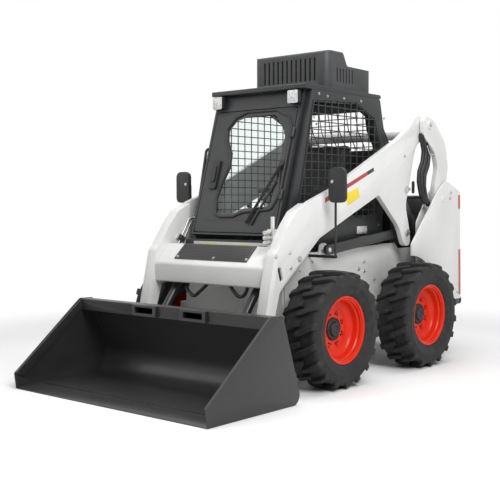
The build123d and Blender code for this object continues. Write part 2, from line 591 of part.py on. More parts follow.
def door():
    """Front door: leaning frame with a shaped window, its glass and the wiper."""
    frame_face = outline((-366, 20, 20), (366, 20, 20), (366, 912, 20), (-366, 912, 20))
    glass_face = outline((-235, 120, 30), (60, 120, 60), (300, 200, 60), (310, 715, 60), (180, 872, 60),
                         (-180, 872, 60), (-310, 735, 60), (-300, 560, 60), (-250, 430, 80), (-260, 330, 60))
    frame = front_panel(frame_face - glass_face, 8, 43)
    for height in (260, 700):
        leaf = outline((330, height), (DOOR_HINGE_Y, height), (DOOR_HINGE_Y, height + 50), (330, height + 50))
        foot = outline((330, height), (360, height), (360, height + 50), (330, height + 50))
        frame += front_panel(leaf, DOOR_HINGE_OUT - 9, DOOR_HINGE_OUT - 4) + front_panel(foot, 43, DOOR_HINGE_OUT - 9)
        low = FRONT.from_local_coords((DOOR_HINGE_Y, height - 10, DOOR_HINGE_OUT))
        high = FRONT.from_local_coords((DOOR_HINGE_Y, height + 60, DOOR_HINGE_OUT))
        frame += rod(tuple(low), tuple(high), DOOR_HINGE_RADIUS)
    across, up = WIPER_PIVOT
    frame += front_panel(disc(WIPER_PIVOT, 20), 43, 60)
    frame += front_panel(outline((across - 8, up + 3), (across + 8, up - 3), (124, 78), (111, 84)), 52, 58)
    frame += front_panel(outline((300, 382), (309, 378), (160, 72), (150, 77)), 44.5, 53)
    frame += front_panel(outline((200, 244), (244, 244), (244, 257), (200, 257)), 50, 55)
    save("door_frame", frame)
    save("door_glass", front_panel(glass_face, 20, 26))


def cab_fittings():
    """Air conditioner on the roof, work lamps, seat, hand rail and mirrors."""
    plan = outline((105, -340, 60), (105, 340, 60), (-470, 340, 60), (-470, -340, 60))
    profile = outline((105, 2021), (105, 2296, 25), (-92, 2296, 30), (-144, 2203, 20), (-455, 2198, 25),
                      (-470, 2021))
    unit = deck(plan, 2021, 2296) & slab(profile, (-340, 340))
    for k in range(12):
        y = -231 + 42 * k
        unit -= rib(outline((y - 8, 2085, 7), (y + 8, 2085, 7), (y + 8, 2250, 7), (y - 8, 2250, 7)), 90, 110)
    for k in range(6):
        x = -210 + 38 * k
        vent = outline((x - 7, 2078, 6), (x + 7, 2078, 6), (x + 7, 2180, 6), (x - 7, 2180, 6))
        unit -= slab(vent, (328, 345))
        unit -= slab(vent, (-345, -328))
    save("ac_unit", unit)
    lamp = rib(outline((300, 1886, 12), (390, 1886, 12), (390, 1976, 12), (300, 1976, 12)), 469, 506)
    lamp -= rib(outline((309, 1895, 8), (381, 1895, 8), (381, 1967, 8), (309, 1967, 8)), 502, 506)
    lamp += block((460, 474), (325, 365), (1930, 1985))
    tails = []
    for low_z, high_z in ((470, 835), (1160, 1272)):
        x_low, x_high = [-1315.3 + 24 * (z - 439) / 856 for z in (low_z, high_z)]
        tails.append(slab(outline((x_low, low_z), (x_high, high_z), (x_high - 6, high_z), (x_low - 6, low_z)),
                          (628, 644)))
    save("work_lamps", lamp, *tails, *[mirror(piece, about=Plane.XZ) for piece in (lamp, *tails)])
    seat = slab(outline((-330, 1081), (100, 1081, 20), (122, 1185, 40), (-240, 1165, 30), (-300, 1700, 45),
                        (-400, 1700, 45), (-405, 1300, 60), (-350, 1120, 40)), (-230, 230))
    seat -= slab(outline((-400, 1082), (130, 1082), (130, 1000), (-400, 1000)), (-240, 240))
    save("seat", seat + block((-300, 60), (-180, 180), (931, 1090)))
    stalk = rod((MIRROR_X, MIRROR_Y, 860), (MIRROR_X, MIRROR_Y, 1400), 8)
    stalk += rod((MIRROR_X, SIDE_PANEL_LANE[1], 855), (MIRROR_X, MIRROR_Y + 8, 855), 10)
    head = outline((MIRROR_Y - 30, 1215, 35), (MIRROR_Y + 100, 1215, 35), (MIRROR_Y + 100, 1370, 35),
                   (MIRROR_Y - 30, 1370, 35))
    stalk += rib(head, MIRROR_X + 10, MIRROR_X + 40)
    stalk += rod((MIRROR_X, MIRROR_Y, 1250), (MIRROR_X + 12, MIRROR_Y, 1250), 12)
    save_pair("mirrors", stalk)


wheels()
main_frame()
axles()
towers()
side_panels()
control_links()
rear_links()
for side_name in SIDES:
    lift_arm(side_name)
lift_cylinders()
tilt_cylinders()
rear_body()
tailgate()
arm_cross_pieces()
arm_hydraulics()
bucket()
cab()
door()
cab_fittings()
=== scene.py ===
"""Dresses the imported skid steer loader: finishes, eased plate edges, tread, screens, seals, hoses and bolts.

Lengths are metres in the part's frame: +X forward, +Y to the operator's left, +Z up. Places on the machine
are written in millimetres about the middle of the wheelbase, as in the part's source, and at() brings them
into the frame.
"""
from __future__ import annotations

import json
import logging
import math
from dataclasses import dataclass, field
from enum import Enum

import bmesh
import bpy
from mathutils import Matrix, Vector

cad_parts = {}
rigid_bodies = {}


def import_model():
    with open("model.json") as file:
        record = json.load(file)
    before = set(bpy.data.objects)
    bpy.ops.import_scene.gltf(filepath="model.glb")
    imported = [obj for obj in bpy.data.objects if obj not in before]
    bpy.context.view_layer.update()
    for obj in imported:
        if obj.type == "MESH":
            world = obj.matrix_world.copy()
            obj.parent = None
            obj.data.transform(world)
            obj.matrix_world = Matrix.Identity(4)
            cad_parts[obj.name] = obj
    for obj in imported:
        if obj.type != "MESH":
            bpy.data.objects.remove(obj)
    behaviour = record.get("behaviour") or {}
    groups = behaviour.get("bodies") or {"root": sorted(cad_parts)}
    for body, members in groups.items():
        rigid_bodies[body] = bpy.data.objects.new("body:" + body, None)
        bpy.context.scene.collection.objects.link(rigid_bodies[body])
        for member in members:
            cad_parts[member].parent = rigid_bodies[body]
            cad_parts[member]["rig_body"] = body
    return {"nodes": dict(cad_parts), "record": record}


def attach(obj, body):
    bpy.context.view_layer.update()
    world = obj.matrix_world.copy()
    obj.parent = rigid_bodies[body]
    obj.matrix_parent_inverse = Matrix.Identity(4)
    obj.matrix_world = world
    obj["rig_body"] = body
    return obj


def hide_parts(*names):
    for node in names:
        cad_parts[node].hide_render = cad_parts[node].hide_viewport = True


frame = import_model()
log = logging.getLogger("loader")

SHIFT = -229.5
WHEELBASE = 1082.0
TYRE_RADIUS = 386.5
TYRE_WIDTH = 264.0
TYRE_CENTRE_Y = 698.0
SIDES = {"left": 1.0, "right": -1.0}
SMOOTH_LIMIT = math.radians(25.0)
PIECE_LIMIT = math.radians(38.0)
MERGE_DISTANCE = 2e-5
LEAN = math.atan2(300.0, 970.0)

Point = tuple[float, float, float]
Corner = tuple[float, ...]


def at(x: float, y: float, z: float) -> Vector:
    """Place on the machine in millimetres, as a point of the frame in metres."""
    return Vector(((x + SHIFT) / 1000.0, y / 1000.0, z / 1000.0))


class Slot(Enum):
    """Material slots of the record."""

    PAINT_WHITE = "paint_white"
    PAINT_BLACK = "paint_black"
    CAB_CHARCOAL = "cab_charcoal"
    BUCKET_GREY = "bucket_grey"
    TYRE = "tyre"
    RIM_ORANGE = "rim_orange"
    GLASS = "glass"
    PLASTIC_BLACK = "plastic_black"
    AC_GREY = "ac_grey"
    LAMP = "lamp"
    SEAT_BLACK = "seat_black"
    CHROME = "chrome"
    STEEL = "steel"


class Value:
    """A shader socket on which Python's operators add Math nodes."""

    def __init__(self, graph: "Graph", socket: bpy.types.NodeSocket) -> None:
        """Keeps the socket and the graph that it belongs to."""
        self.graph = graph
        self.socket = socket

    def _math(self, operation: str, first: "Value | float", second: "Value | float") -> "Value":
        """Adds one Math node.

        Args:
            operation: Blender's name of the operation.
            first: the first operand.
            second: the second operand.

        Returns:
            The node's result.
        """
        return self.graph.add("ShaderNodeMath", {"operation": operation}, {0: first, 1: second})["Value"]

    def __add__(self, other: "Value | float") -> "Value":
        """Sum."""
        return self._math("ADD", self, other)

    def __radd__(self, other: float) -> "Value":
        """Sum, with the number on the left."""
        return self._math("ADD", other, self)

    def __sub__(self, other: "Value | float") -> "Value":
        """Difference."""
        return self._math("SUBTRACT", self, other)

    def __rsub__(self, other: float) -> "Value":
        """Difference, with the number on the left."""
        return self._math("SUBTRACT", other, self)

    def __mul__(self, other: "Value | float") -> "Value":
        """Product."""
        return self._math("MULTIPLY", self, other)

    def __rmul__(self, other: float) -> "Value":
        """Product, with the number on the left."""
        return self._math("MULTIPLY", other, self)

    def root(self) -> "Value":
        """Square root."""
        return self._math("SQRT", self, 0.0)

    def ramp(self, low: float, high: float) -> "Value":
        """Smooth step from 0 at low to 1 at high."""
        levels = {0: self, 1: low, 2: high, 3: 0.0, 4: 1.0}
        return self.graph.add("ShaderNodeMapRange", {"interpolation_type": "SMOOTHSTEP"}, levels)["Result"]


class Node:
    """A shader node whose outputs are read by name."""

    def __init__(self, graph: "Graph", node: bpy.types.Node) -> None:
        """Keeps the node and its graph."""
        self.graph = graph
        self.node = node

    def __getitem__(self, name: str) -> Value:
        """Output of that name."""
        return Value(self.graph, self.node.outputs[name])


class Graph:
    """Node tree of one material."""

    def __init__(self, name: str) -> None:
        """Starts an empty material that reads Object coordinates."""
        self.material = bpy.data.materials.new(name)
        self.material.use_nodes = True
        self.tree = self.material.node_tree
        self.tree.nodes.clear()
        self.place = self.add("ShaderNodeTexCoord")["Object"]

    def add(self, kind: str, settings: dict | None = None, sockets: dict | None = None) -> Node:
        """Adds any node.

        Args:
            kind: the node's type.
            settings: its properties, set first.
            sockets: values or links of its inputs, by name or number.

        Returns:
            The node.
        """
        node = self.tree.nodes.new(kind)
        for key, setting in (settings or {}).items():
            setattr(node, key, setting)
        for key, value in (sockets or {}).items():
            if isinstance(value, Value):
                self.tree.links.new(value.socket, node.inputs[key])
            else:
                node.inputs[key].default_value = value
        return Node(self, node)

    def noise(self, scale: float, detail: float = 2.0) -> Value:
        """Noise of that scale on Object coordinates."""
        sockets = {"Vector": self.place, "Scale": scale, "Detail": detail}
        return self.add("ShaderNodeTexNoise", None, sockets)["Fac"]

    def height(self) -> Value:
        """Height above the ground."""
        return self.add("ShaderNodeSeparateXYZ", None, {"Vector": self.place})["Z"]

    def mix(self, first: "tuple | Value", second: "tuple | Value", share: "Value | float") -> Value:
        """Colour between two colours.

        Args:
            first: the colour at share 0.
            second: the colour at share 1.
            share: the mix factor.

        Returns:
            The mixed colour.
        """
        node = self.add("ShaderNodeMix", {"data_type": "RGBA"}, {0: share, 6: first, 7: second})
        return Value(self, node.node.outputs[2])

    def bump(self, height: Value, strength: float, distance: float) -> Value:
        """Normal that follows a height."""
        sockets = {"Strength": strength, "Distance": distance, "Height": height}
        return self.add("ShaderNodeBump", None, sockets)["Normal"]

    def close(self, sockets: dict) -> bpy.types.Material:
        """Adds the Principled shader and the output.

        Args:
            sockets: values or links of the shader's inputs.

        Returns:
            The finished material.
        """
        shader = self.add("ShaderNodeBsdfPrincipled", None, sockets)
        self.add("ShaderNodeOutputMaterial", None, {"Surface": shader["BSDF"]})
        return self.material


DRY_DUST = (0.23, 0.2, 0.165, 1.0)
RUBBER_DUST = (0.13, 0.115, 0.1, 1.0)


def shade(colour: Point, factor: float) -> tuple[float, float, float, float]:
    """Colour times a factor, with its alpha."""
    return (*(min(1.0, c * factor) for c in colour), 1.0)


@dataclass(frozen=True)
class Enamel:
    """Sprayed paint: faint mottling, fine orange peel, and a little dust low down."""

    name: str
    colour: Point
    roughness: float = 0.32
    coat: float = 0.25
    peel: float = 0.06
    dust: float = 0.12
    gloss: float = 0.5

    def build(self) -> bpy.types.Material:
        """Makes the material."""
        g = Graph(self.name)
        cloud = g.noise(3.0, 3.0)
        grain = g.noise(420.0, 1.0)
        low = 1.0 - g.height().ramp(0.0, 0.55)
        dust = low * g.noise(9.0, 5.0).ramp(0.35, 0.75) * self.dust
        base = g.mix(shade(self.colour, 0.965), shade(self.colour, 1.025), cloud.ramp(0.3, 0.7))
        base = g.mix(base, DRY_DUST, dust)
        rough = self.roughness + 0.08 * (g.noise(14.0, 4.0) - 0.5) + dust * 0.8
        return g.close({"Base Color": base, "Roughness": rough, "Coat Weight": self.coat,
                        "Coat Roughness": 0.12, "Specular IOR Level": self.gloss,
                        "Normal": g.bump(grain, self.peel, 0.0006)})


@dataclass(frozen=True)
class Powder:
    """Textured powder coat or moulded plastic: a fine pebble, and slightly worn sheen."""

    name: str
    colour: Point
    roughness: float = 0.5
    pebble: float = 0.25
    scale: float = 900.0

    def build(self) -> bpy.types.Material:
        """Makes the material."""
        g = Graph(self.name)
        cloud = g.noise(5.0, 4.0)
        base = g.mix(shade(self.colour, 0.88), shade(self.colour, 1.12), cloud.ramp(0.3, 0.7))
        rough = self.roughness + 0.14 * (g.noise(22.0, 4.0) - 0.5)
        return g.close({"Base Color": base, "Roughness": rough,
                        "Normal": g.bump(g.noise(self.scale, 1.0), self.pebble, 0.0005)})


@dataclass(frozen=True)
class Rubber:
    """Tyre or hose rubber: dull, with mould grain and a trace of dust in patches."""

    name: str
    colour: Point
    dust: float = 0.18
    roughness: float = 0.78

    def build(self) -> bpy.types.Material:
        """Makes the material."""
        g = Graph(self.name)
        dust = g.noise(16.0, 6.0).ramp(0.45, 0.8) * self.dust
        base = g.mix(shade(self.colour, 0.85), shade(self.colour, 1.2), g.noise(7.0, 3.0).ramp(0.3, 0.7))
        base = g.mix(base, RUBBER_DUST, dust)
        rough = self.roughness + 0.12 * (g.noise(30.0, 3.0) - 0.5) + dust * 0.3
        grain = g.noise(260.0, 3.0) + 0.5 * g.noise(60.0, 2.0)
        return g.close({"Base Color": base, "Roughness": rough, "Normal": g.bump(grain, 0.3, 0.0009)})


@dataclass(frozen=True)
class Metal:
    """Bare metal: hard chrome, zinc plate or worn steel, by roughness and scratches."""

    name: str
    colour: Point
    roughness: float = 0.2
    scratch: float = 0.05

    def build(self) -> bpy.types.Material:
        """Makes the material."""
        g = Graph(self.name)
        cloud = g.noise(40.0, 4.0)
        base = g.mix(shade(self.colour, 0.85), shade(self.colour, 1.08), cloud.ramp(0.3, 0.7))
        rough = self.roughness + 0.1 * (g.noise(120.0, 3.0) - 0.5)
        return g.close({"Base Color": base, "Roughness": rough, "Metallic": 1.0,
                        "Normal": g.bump(g.noise(700.0, 2.0), self.scratch, 0.0004)})


@dataclass(frozen=True)
class Pane:
    """Clear sheet glass with a trace of grey-green."""

    name: str
    colour: Point = (0.86, 0.92, 0.9)
    bending: float = 1.2

    def build(self) -> bpy.types.Material:
        """Makes the material."""
        g = Graph(self.name)
        smear = g.noise(6.0, 3.0).ramp(0.4, 0.9)
        return g.close({"Base Color": (*self.colour, 1.0), "Roughness": 0.01 + 0.05 * smear,
                        "Transmission Weight": 1.0, "IOR": self.bending})


@dataclass(frozen=True)
class Lens:
    """Moulded lamp lens with a pattern of small prisms, its cells lighter and darker as painted glints; a pale
    colour on it is a painted reflection of a bright reflector behind.
    """

    name: str
    colour: Point

    def build(self) -> bpy.types.Material:
        """Makes the material."""
        g = Graph(self.name)
        cells = g.add("ShaderNodeTexVoronoi", None, {"Vector": g.place, "Scale": 70.0})["Distance"]
        # painted glints: the prism cells are lighter and darker in colour, as light catching them would make
        # them
        base = g.mix(shade(self.colour, 0.55), shade(self.colour, 1.1), cells.ramp(0.0, 0.55))
        return g.close({"Base Color": base, "Roughness": 0.16, "Coat Weight": 0.6,
                        "Normal": g.bump(cells, 0.5, 0.002)})


class Paint:
    """The finishes of the loader, each made once, those of the record's slots first and in their order."""

    def __init__(self) -> None:
        """Builds every finish."""
        made = [Enamel("white_enamel", (0.76, 0.76, 0.752), 0.3, 0.15),
                Enamel("black_enamel", (0.014, 0.014, 0.015), 0.36, 0.1),
                Powder("charcoal_coat", (0.02, 0.021, 0.0225), 0.46),
                Enamel("bucket_enamel", (0.02, 0.02, 0.021), 0.42, 0.1, dust=0.02),
                Rubber("tyre_rubber", (0.0085, 0.0085, 0.009)),
                Enamel("rim_enamel", (0.7, 0.026, 0.006), 0.3, 0.0, dust=0.04, gloss=0.28), Pane("cab_glass"),
                Powder("black_plastic", (0.011, 0.011, 0.012), 0.5),
                # lamp_lens: its pale grey is a painted reflection of the bright reflector behind the lens
                Powder("grey_plastic", (0.041, 0.042, 0.044), 0.5), Lens("lamp_lens", (0.68, 0.68, 0.67)),
                Powder("seat_cover", (0.02, 0.02, 0.021), 0.6, 0.5, 500.0),
                Metal("hard_chrome", (0.72, 0.72, 0.73), 0.12),
                Metal("zinc_plate", (0.55, 0.55, 0.53), 0.36, 0.2),
                Enamel("label_yellow", (0.88, 0.66, 0.03), 0.4),
                Enamel("stripe_red", (0.36, 0.02, 0.018), 0.35), Metal("silver_plate", (0.6, 0.6, 0.6), 0.4),
                Rubber("hose_rubber", (0.009, 0.009, 0.01), 0.04, 0.5), Lens("red_lens", (0.45, 0.02, 0.015)),
                # painted_shade_black: near-black colour for sheets put in slots, holes and behind the grille,
                # where there is only shade
                Powder("painted_shade_black", (0.004, 0.004, 0.004), 0.8)]
        self.finishes = {finish.name: finish.build() for finish in made}
        self.by_slot = dict(zip(Slot, [self.finishes[finish.name] for finish in made]))

    def __getitem__(self, key: "Slot | str") -> bpy.types.Material:
        """Finish of a slot, or of that name."""
        return self.by_slot[key] if isinstance(key, Slot) else self.finishes[key]


PAINT = Paint()


def link(name: str, mesh: bpy.types.Mesh, finish: bpy.types.Material | None = None) -> bpy.types.Object:
    """Puts a mesh into the scene.

    Args:
        name: the object's name.
        mesh: its mesh, in the frame's metres.
        finish: its one material, or None to keep the mesh's own.

    Returns:
        The object, at the origin.
    """
    mesh.name = name
    if finish is not None:
        mesh.materials.clear()
        mesh.materials.append(finish)
        mesh.polygons.foreach_set("material_index", [0] * len(mesh.polygons))
    obj = bpy.data.objects.new(name, mesh)
    bpy.context.scene.collection.objects.link(obj)
    return obj


def smooth(mesh: bpy.types.Mesh, limit: float = SMOOTH_LIMIT) -> None:
    """Shades a mesh smooth, apart from the edges that turn more than the limit."""
    work = bmesh.new()
    work.from_mesh(mesh)
    for face in work.faces:
        face.smooth = True
    for edge in work.edges:
        edge.smooth = len(edge.link_faces) == 2 and edge.calc_face_angle() < limit
    work.to_mesh(mesh)
    work.free()


def new_mesh(points: list, faces: list) -> bpy.types.Mesh:
    """Mesh from points and faces, with its doubles merged and its faces turned outwards."""
    mesh = bpy.data.meshes.new("shape")
    mesh.from_pydata([tuple(p) for p in points], [], faces)
    work = bmesh.new()
    work.from_mesh(mesh)
    bmesh.ops.remove_doubles(work, verts=work.verts, dist=1e-6)
    bmesh.ops.recalc_face_normals(work, faces=work.faces)
    work.to_mesh(mesh)
    work.free()
    return mesh


def soften(mesh: bpy.types.Mesh, width: float, angle: float = math.radians(28.0)) -> bpy.types.Mesh:
    """Rounds the edges of a merged mesh that turn more than the angle.

    Args:
        mesh: the mesh, changed in place.
        width: the bevel's width in metres.
        angle: the least turn of an edge that is rounded.

    Returns:
        The same mesh.
    """
    work = bmesh.new()
    work.from_mesh(mesh)
    bmesh.ops.remove_doubles(work, verts=work.verts, dist=MERGE_DISTANCE)
    bmesh.ops.dissolve_limit(work, angle_limit=math.radians(0.8), verts=work.verts, edges=work.edges)
    sharp = [e for e in work.edges if len(e.link_faces) == 2 and e.calc_face_angle() > angle]
    bmesh.ops.bevel(work, geom=sharp, offset=width, offset_type="OFFSET", segments=2, profile=0.6,
                    affect="EDGES", clamp_overlap=True)
    work.to_mesh(mesh)
    work.free()
    smooth(mesh)
    return mesh


def put(obj: bpy.types.Object, body: str, *replaced: str, slot: Slot | None = None) -> bpy.types.Object:
    """Makes a piece ride on a body, and hides the CAD nodes that it stands for.

    Args:
        obj: the piece.
        body: the CAD body that carries it.
        replaced: CAD nodes that it stands for.
        slot: the record's material slot of its finish; not used.

    Returns:
        The piece.
    """
    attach(obj, body)
    if replaced:
        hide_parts(*replaced)
    log.info("%s rides on %s: %d faces", obj.name, body, len(obj.data.polygons))
    return obj


def rounded(corners: list[Corner], steps: int = 7) -> list[tuple[float, float]]:
    """Outline of corners (u, v) or (u, v, radius), each radius becoming a tangent arc.

    Args:
        corners: the outline's corners in order.
        steps: points along each arc, less one.

    Returns:
        The outline's points.
    """
    points = []
    count = len(corners)
    for i, corner in enumerate(corners):
        here = Vector(corner[:2])
        radius = corner[2] if len(corner) > 2 else 0.0
        if not radius:
            points.append(tuple(here))
            continue
        before = (Vector(corners[i - 1][:2]) - here).normalized()
        after = (Vector(corners[(i + 1) % count][:2]) - here).normalized()
        half = before.angle(after) / 2
        centre = here + (before + after).normalized() * radius / math.sin(half)
        start = here + before * radius / math.tan(half) - centre
        turn = math.pi - 2 * half
        sign = 1.0 if start.x * (here - centre).y - start.y * (here - centre).x > 0 else -1.0
        for k in range(steps + 1):
            spin = Matrix.Rotation(sign * turn * k / steps, 2)
            points.append(tuple(centre + spin @ start))
    return points


@dataclass(frozen=True)
class Sheet:
    """A drawing plane: its origin and two directions in the machine's millimetres."""

    origin: Point
    across: Point
    up: Point

    def point(self, u: float, v: float, out: float = 0.0) -> Vector:
        """Point of the plane, raised along its normal, in the frame's metres."""
        across, up = Vector(self.across), Vector(self.up)
        return at(*(Vector(self.origin) + across * u + up * v + across.cross(up).normalized() * out))

    def normal(self) -> Vector:
        """Direction out of the plane."""
        return Vector(self.across).cross(Vector(self.up)).normalized()


def side_sheet(y: float, side: float) -> Sheet:
    """Plane of one side of the machine, drawn in (x, z) on the left and mirrored on the right."""
    return Sheet((0.0, y * side, 0.0), (-side, 0.0, 0.0), (0.0, 0.0, 1.0))


FRONT = Sheet((700.0, 0.0, 980.0), (0.0, 1.0, 0.0), (-math.sin(LEAN), 0.0, math.cos(LEAN)))


def plate(sheet: Sheet, outline: list[tuple[float, float]], low: float, high: float) -> bpy.types.Mesh:
    """Flat plate with that outline between two heights over a plane."""
    count = len(outline)
    points = [sheet.point(u, v, low) for u, v in outline] + [sheet.point(u, v, high) for u, v in outline]
    faces = [list(range(count))[::-1], list(range(count, 2 * count))]
    faces += [[k, (k + 1) % count, count + (k + 1) % count, count + k] for k in range(count)]
    return new_mesh(points, faces)


def spun(profile: list[tuple[float, float]], segments: int, centre: Vector,
         side: float = 1.0) -> bpy.types.Mesh:
    """Closed profile (y, radius) in millimetres turned about a line along Y.

    Args:
        profile: the closed outline.
        segments: steps round the axis.
        centre: the wheel's middle, in the frame's metres.
        side: 1, or -1 to mirror it along Y.

    Returns:
        The mesh.
    """
    points, faces = [], []
    count = len(profile)
    for k in range(segments):
        a = 2 * math.pi * k / segments
        for y, r in profile:
            points.append(centre + Vector((r * math.cos(a), side * y, r * math.sin(a))) / 1000.0)
    for k in range(segments):
        n = (k + 1) % segments
        for i in range(count):
            j = (i + 1) % count
            faces.append([k * count + i, k * count + j, n * count + j, n * count + i])
    return new_mesh(points, faces)


def joined(meshes: list[bpy.types.Mesh]) -> bpy.types.Mesh:
    """Several meshes as one."""
    work = bmesh.new()
    for mesh in meshes:
        work.from_mesh(mesh)
    result = bpy.data.meshes.new("joined")
    work.to_mesh(result)
    work.free()
    return result


class Tree:
    """A Geometry Nodes tree with named inputs that turns one mesh into a plain finished mesh."""

    def __init__(self, name: str, inputs: dict[str, tuple[str, object]]) -> None:
        """Starts the tree.

        Args:
            name: the tree's name.
            inputs: each input's name, with its socket type and default.
        """
        self.tree = bpy.data.node_groups.new(name, "GeometryNodeTree")
        self.tree.is_modifier = True
        face = self.tree.interface
        face.new_socket("Geometry", in_out="OUTPUT", socket_type="NodeSocketGeometry")
        face.new_socket("Geometry", in_out="INPUT", socket_type="NodeSocketGeometry")
        self.ids: dict[str, str] = {}
        for key, (kind, default) in {**inputs, "Finish": ("NodeSocketMaterial", None)}.items():
            item = face.new_socket(key, in_out="INPUT", socket_type=kind)
            if default is not None:
                item.default_value = default
            self.ids[key] = item.identifier
        self.source = self.tree.nodes.new("NodeGroupInput")

    def given(self, name: str) -> bpy.types.NodeSocket:
        """Socket of a named input."""
        return self.source.outputs[name]

    def add(self, kind: str, settings: dict | None = None, sockets: dict | None = None) -> bpy.types.Node:
        """Adds a node.

        Args:
            kind: the node's type.
            settings: its properties, set first.
            sockets: values or links of its inputs, by name or number.

        Returns:
            The node.
        """
        node = self.tree.nodes.new(kind)
        for key, setting in (settings or {}).items():
            setattr(node, key, setting)
        for key, value in (sockets or {}).items():
            for each in value if isinstance(value, list) else [value]:
                if isinstance(each, bpy.types.NodeSocket):
                    self.tree.links.new(each, node.inputs[key])
                else:
                    node.inputs[key].default_value = each
        return node

    def close(self, geometry: bpy.types.NodeSocket) -> "Tree":
        """Realizes the instances, sets the finish and ends the tree."""
        real = self.add("GeometryNodeRealizeInstances", None, {"Geometry": geometry})
        painted = self.add("GeometryNodeSetMaterial", None, {"Geometry": real.outputs[0],
                                                             "Material": self.given("Finish")})
        self.add("NodeGroupOutput", None, {0: painted.outputs[0]})
        return self

    def run(self, name: str, mesh: bpy.types.Mesh, finish: bpy.types.Material,
            **values: object) -> bpy.types.Object:
        """Runs the tree on a mesh.

        Args:
            name: the piece's name.
            mesh: what goes into the tree.
            finish: the piece's material.
            values: the named inputs, with _ for a space.

        Returns:
            The piece, as a plain mesh.
        """
        seed = link(name + "_seed", mesh)
        modifier = seed.modifiers.new("tree", "NODES")
        modifier.node_group = self.tree
        for key, value in {**values, "Finish": finish}.items():
            modifier[self.ids[key.replace("_", " ")]] = value
        bpy.context.view_layer.update()
        ready = seed.evaluated_get(bpy.context.evaluated_depsgraph_get())
        made = bpy.data.meshes.new_from_object(ready)
        bpy.data.objects.remove(seed)
        smooth(made, PIECE_LIMIT)
        return link(name, made)


def sweep_tree() -> Tree:
    """Tube along the edges of a mesh, with bent corners."""
    t = Tree("tube_along_edges",
             {"Tube Radius": ("NodeSocketFloat", 0.01), "Bend Radius": ("NodeSocketFloat", 0.02),
              "Bend Steps": ("NodeSocketInt", 6), "Facets": ("NodeSocketInt", 12)})
    curve = t.add("GeometryNodeMeshToCurve", None, {"Mesh": t.given("Geometry")})
    bent = t.add("GeometryNodeFilletCurve", {"mode": "POLY"},
                 {"Curve": curve.outputs[0], "Count": t.given("Bend Steps"), "Radius": t.given("Bend Radius"),
                  "Limit Radius": True})
    ring = t.add("GeometryNodeCurvePrimitiveCircle", {"mode": "RADIUS"},
                 {"Resolution": t.given("Facets"), "Radius": t.given("Tube Radius")})
    tube = t.add("GeometryNodeCurveToMesh", None, {"Curve": bent.outputs[0], "Profile Curve": ring.outputs[0],
                                                   "Fill Caps": True})
    return t.close(tube.outputs[0])


def ring_tree() -> Tree:
    """Copies of a mesh, modelled about the origin, spaced round a line along Y."""
    t = Tree("ring_about_axle", {"Count": ("NodeSocketInt", 8), "Centre": ("NodeSocketVector", None),
                                 "Start": ("NodeSocketFloat", 0.0), "Step": ("NodeSocketFloat", 0.1)})
    spots = t.add("GeometryNodePoints", None, {"Count": t.given("Count"), "Position": t.given("Centre")})
    index = t.add("GeometryNodeInputIndex")
    angle = t.add("ShaderNodeMath", {"operation": "MULTIPLY_ADD"},
                  {0: index.outputs[0], 1: t.given("Step"), 2: t.given("Start")})
    turn = t.add("ShaderNodeCombineXYZ", None, {"Y": angle.outputs[0]})
    copies = t.add("GeometryNodeInstanceOnPoints", None,
                   {"Points": spots.outputs[0], "Instance": t.given("Geometry"), "Rotation": turn.outputs[0]})
    return t.close(copies.outputs[0])


def row_tree() -> Tree:
    """Copies of a mesh along a straight line."""
    t = Tree("row_along_line", {"Count": ("NodeSocketInt", 4), "Step": ("NodeSocketVector", None)})
    index = t.add("GeometryNodeInputIndex")
    spots = t.add("GeometryNodePoints", None, {"Count": t.given("Count")})
    shift = t.add("ShaderNodeVectorMath", {"operation": "SCALE"},
                  {0: t.given("Step"), "Scale": index.outputs[0]})
    moved = t.add("GeometryNodeSetPosition", None,
                  {"Geometry": spots.outputs[0], "Position": shift.outputs[0]})
    copies = t.add("GeometryNodeInstanceOnPoints", None,
                   {"Points": moved.outputs[0], "Instance": t.given("Geometry")})
    return t.close(copies.outputs[0])


def bolt_tree() -> Tree:
    """Headed bolt with its washer on every point of a mesh, along the point's own facing."""
    t = Tree("bolt_on_points",
             {"Head Radius": ("NodeSocketFloat", 0.008), "Head Height": ("NodeSocketFloat", 0.006),
              "Washer Radius": ("NodeSocketFloat", 0.012), "Washer Height": ("NodeSocketFloat", 0.002),
              "Head Sides": ("NodeSocketInt", 6)})
    facing = t.add("GeometryNodeInputNamedAttribute", {"data_type": "FLOAT_VECTOR"}, {"Name": "facing"})
    turned = t.add("FunctionNodeAlignRotationToVector", {"axis": "Z"}, {"Vector": facing.outputs[0]})
    head = t.add("GeometryNodeMeshCylinder", None,
                 {"Vertices": t.given("Head Sides"), "Radius": t.given("Head Radius"),
                  "Depth": t.given("Head Height")})
    rise = t.add("ShaderNodeMath", {"operation": "MULTIPLY_ADD"},
                 {0: t.given("Head Height"), 1: 0.5, 2: t.given("Washer Height")})
    lift = t.add("ShaderNodeCombineXYZ", None, {"Z": rise.outputs[0]})
    raised = t.add("GeometryNodeTransform", None,
                   {"Geometry": head.outputs[0], "Translation": lift.outputs[0]})
    washer = t.add("GeometryNodeMeshCylinder", None, {"Vertices": 20, "Radius": t.given("Washer Radius"),
                                                      "Depth": t.given("Washer Height")})
    both = t.add("GeometryNodeJoinGeometry", None, {"Geometry": [raised.outputs[0], washer.outputs[0]]})
    copies = t.add("GeometryNodeInstanceOnPoints", None,
                   {"Points": t.given("Geometry"), "Instance": both.outputs[0],
                                                          "Rotation": turned.outputs[0]})
    return t.close(copies.outputs[0])


SWEEP, RING, ROW, BOLTS = sweep_tree(), ring_tree(), row_tree(), bolt_tree()


def path_mesh(runs: list[list[Vector]], closed: bool = False) -> bpy.types.Mesh:
    """Edges through each run of points."""
    points, edges = [], []
    for run in runs:
        first = len(points)
        points += [tuple(p) for p in run]
        edges += [(first + k, first + k + 1) for k in range(len(run) - 1)]
        if closed:
            edges.append((first + len(run) - 1, first))
    mesh = bpy.data.meshes.new("path")
    mesh.from_pydata(points, edges, [])
    return mesh


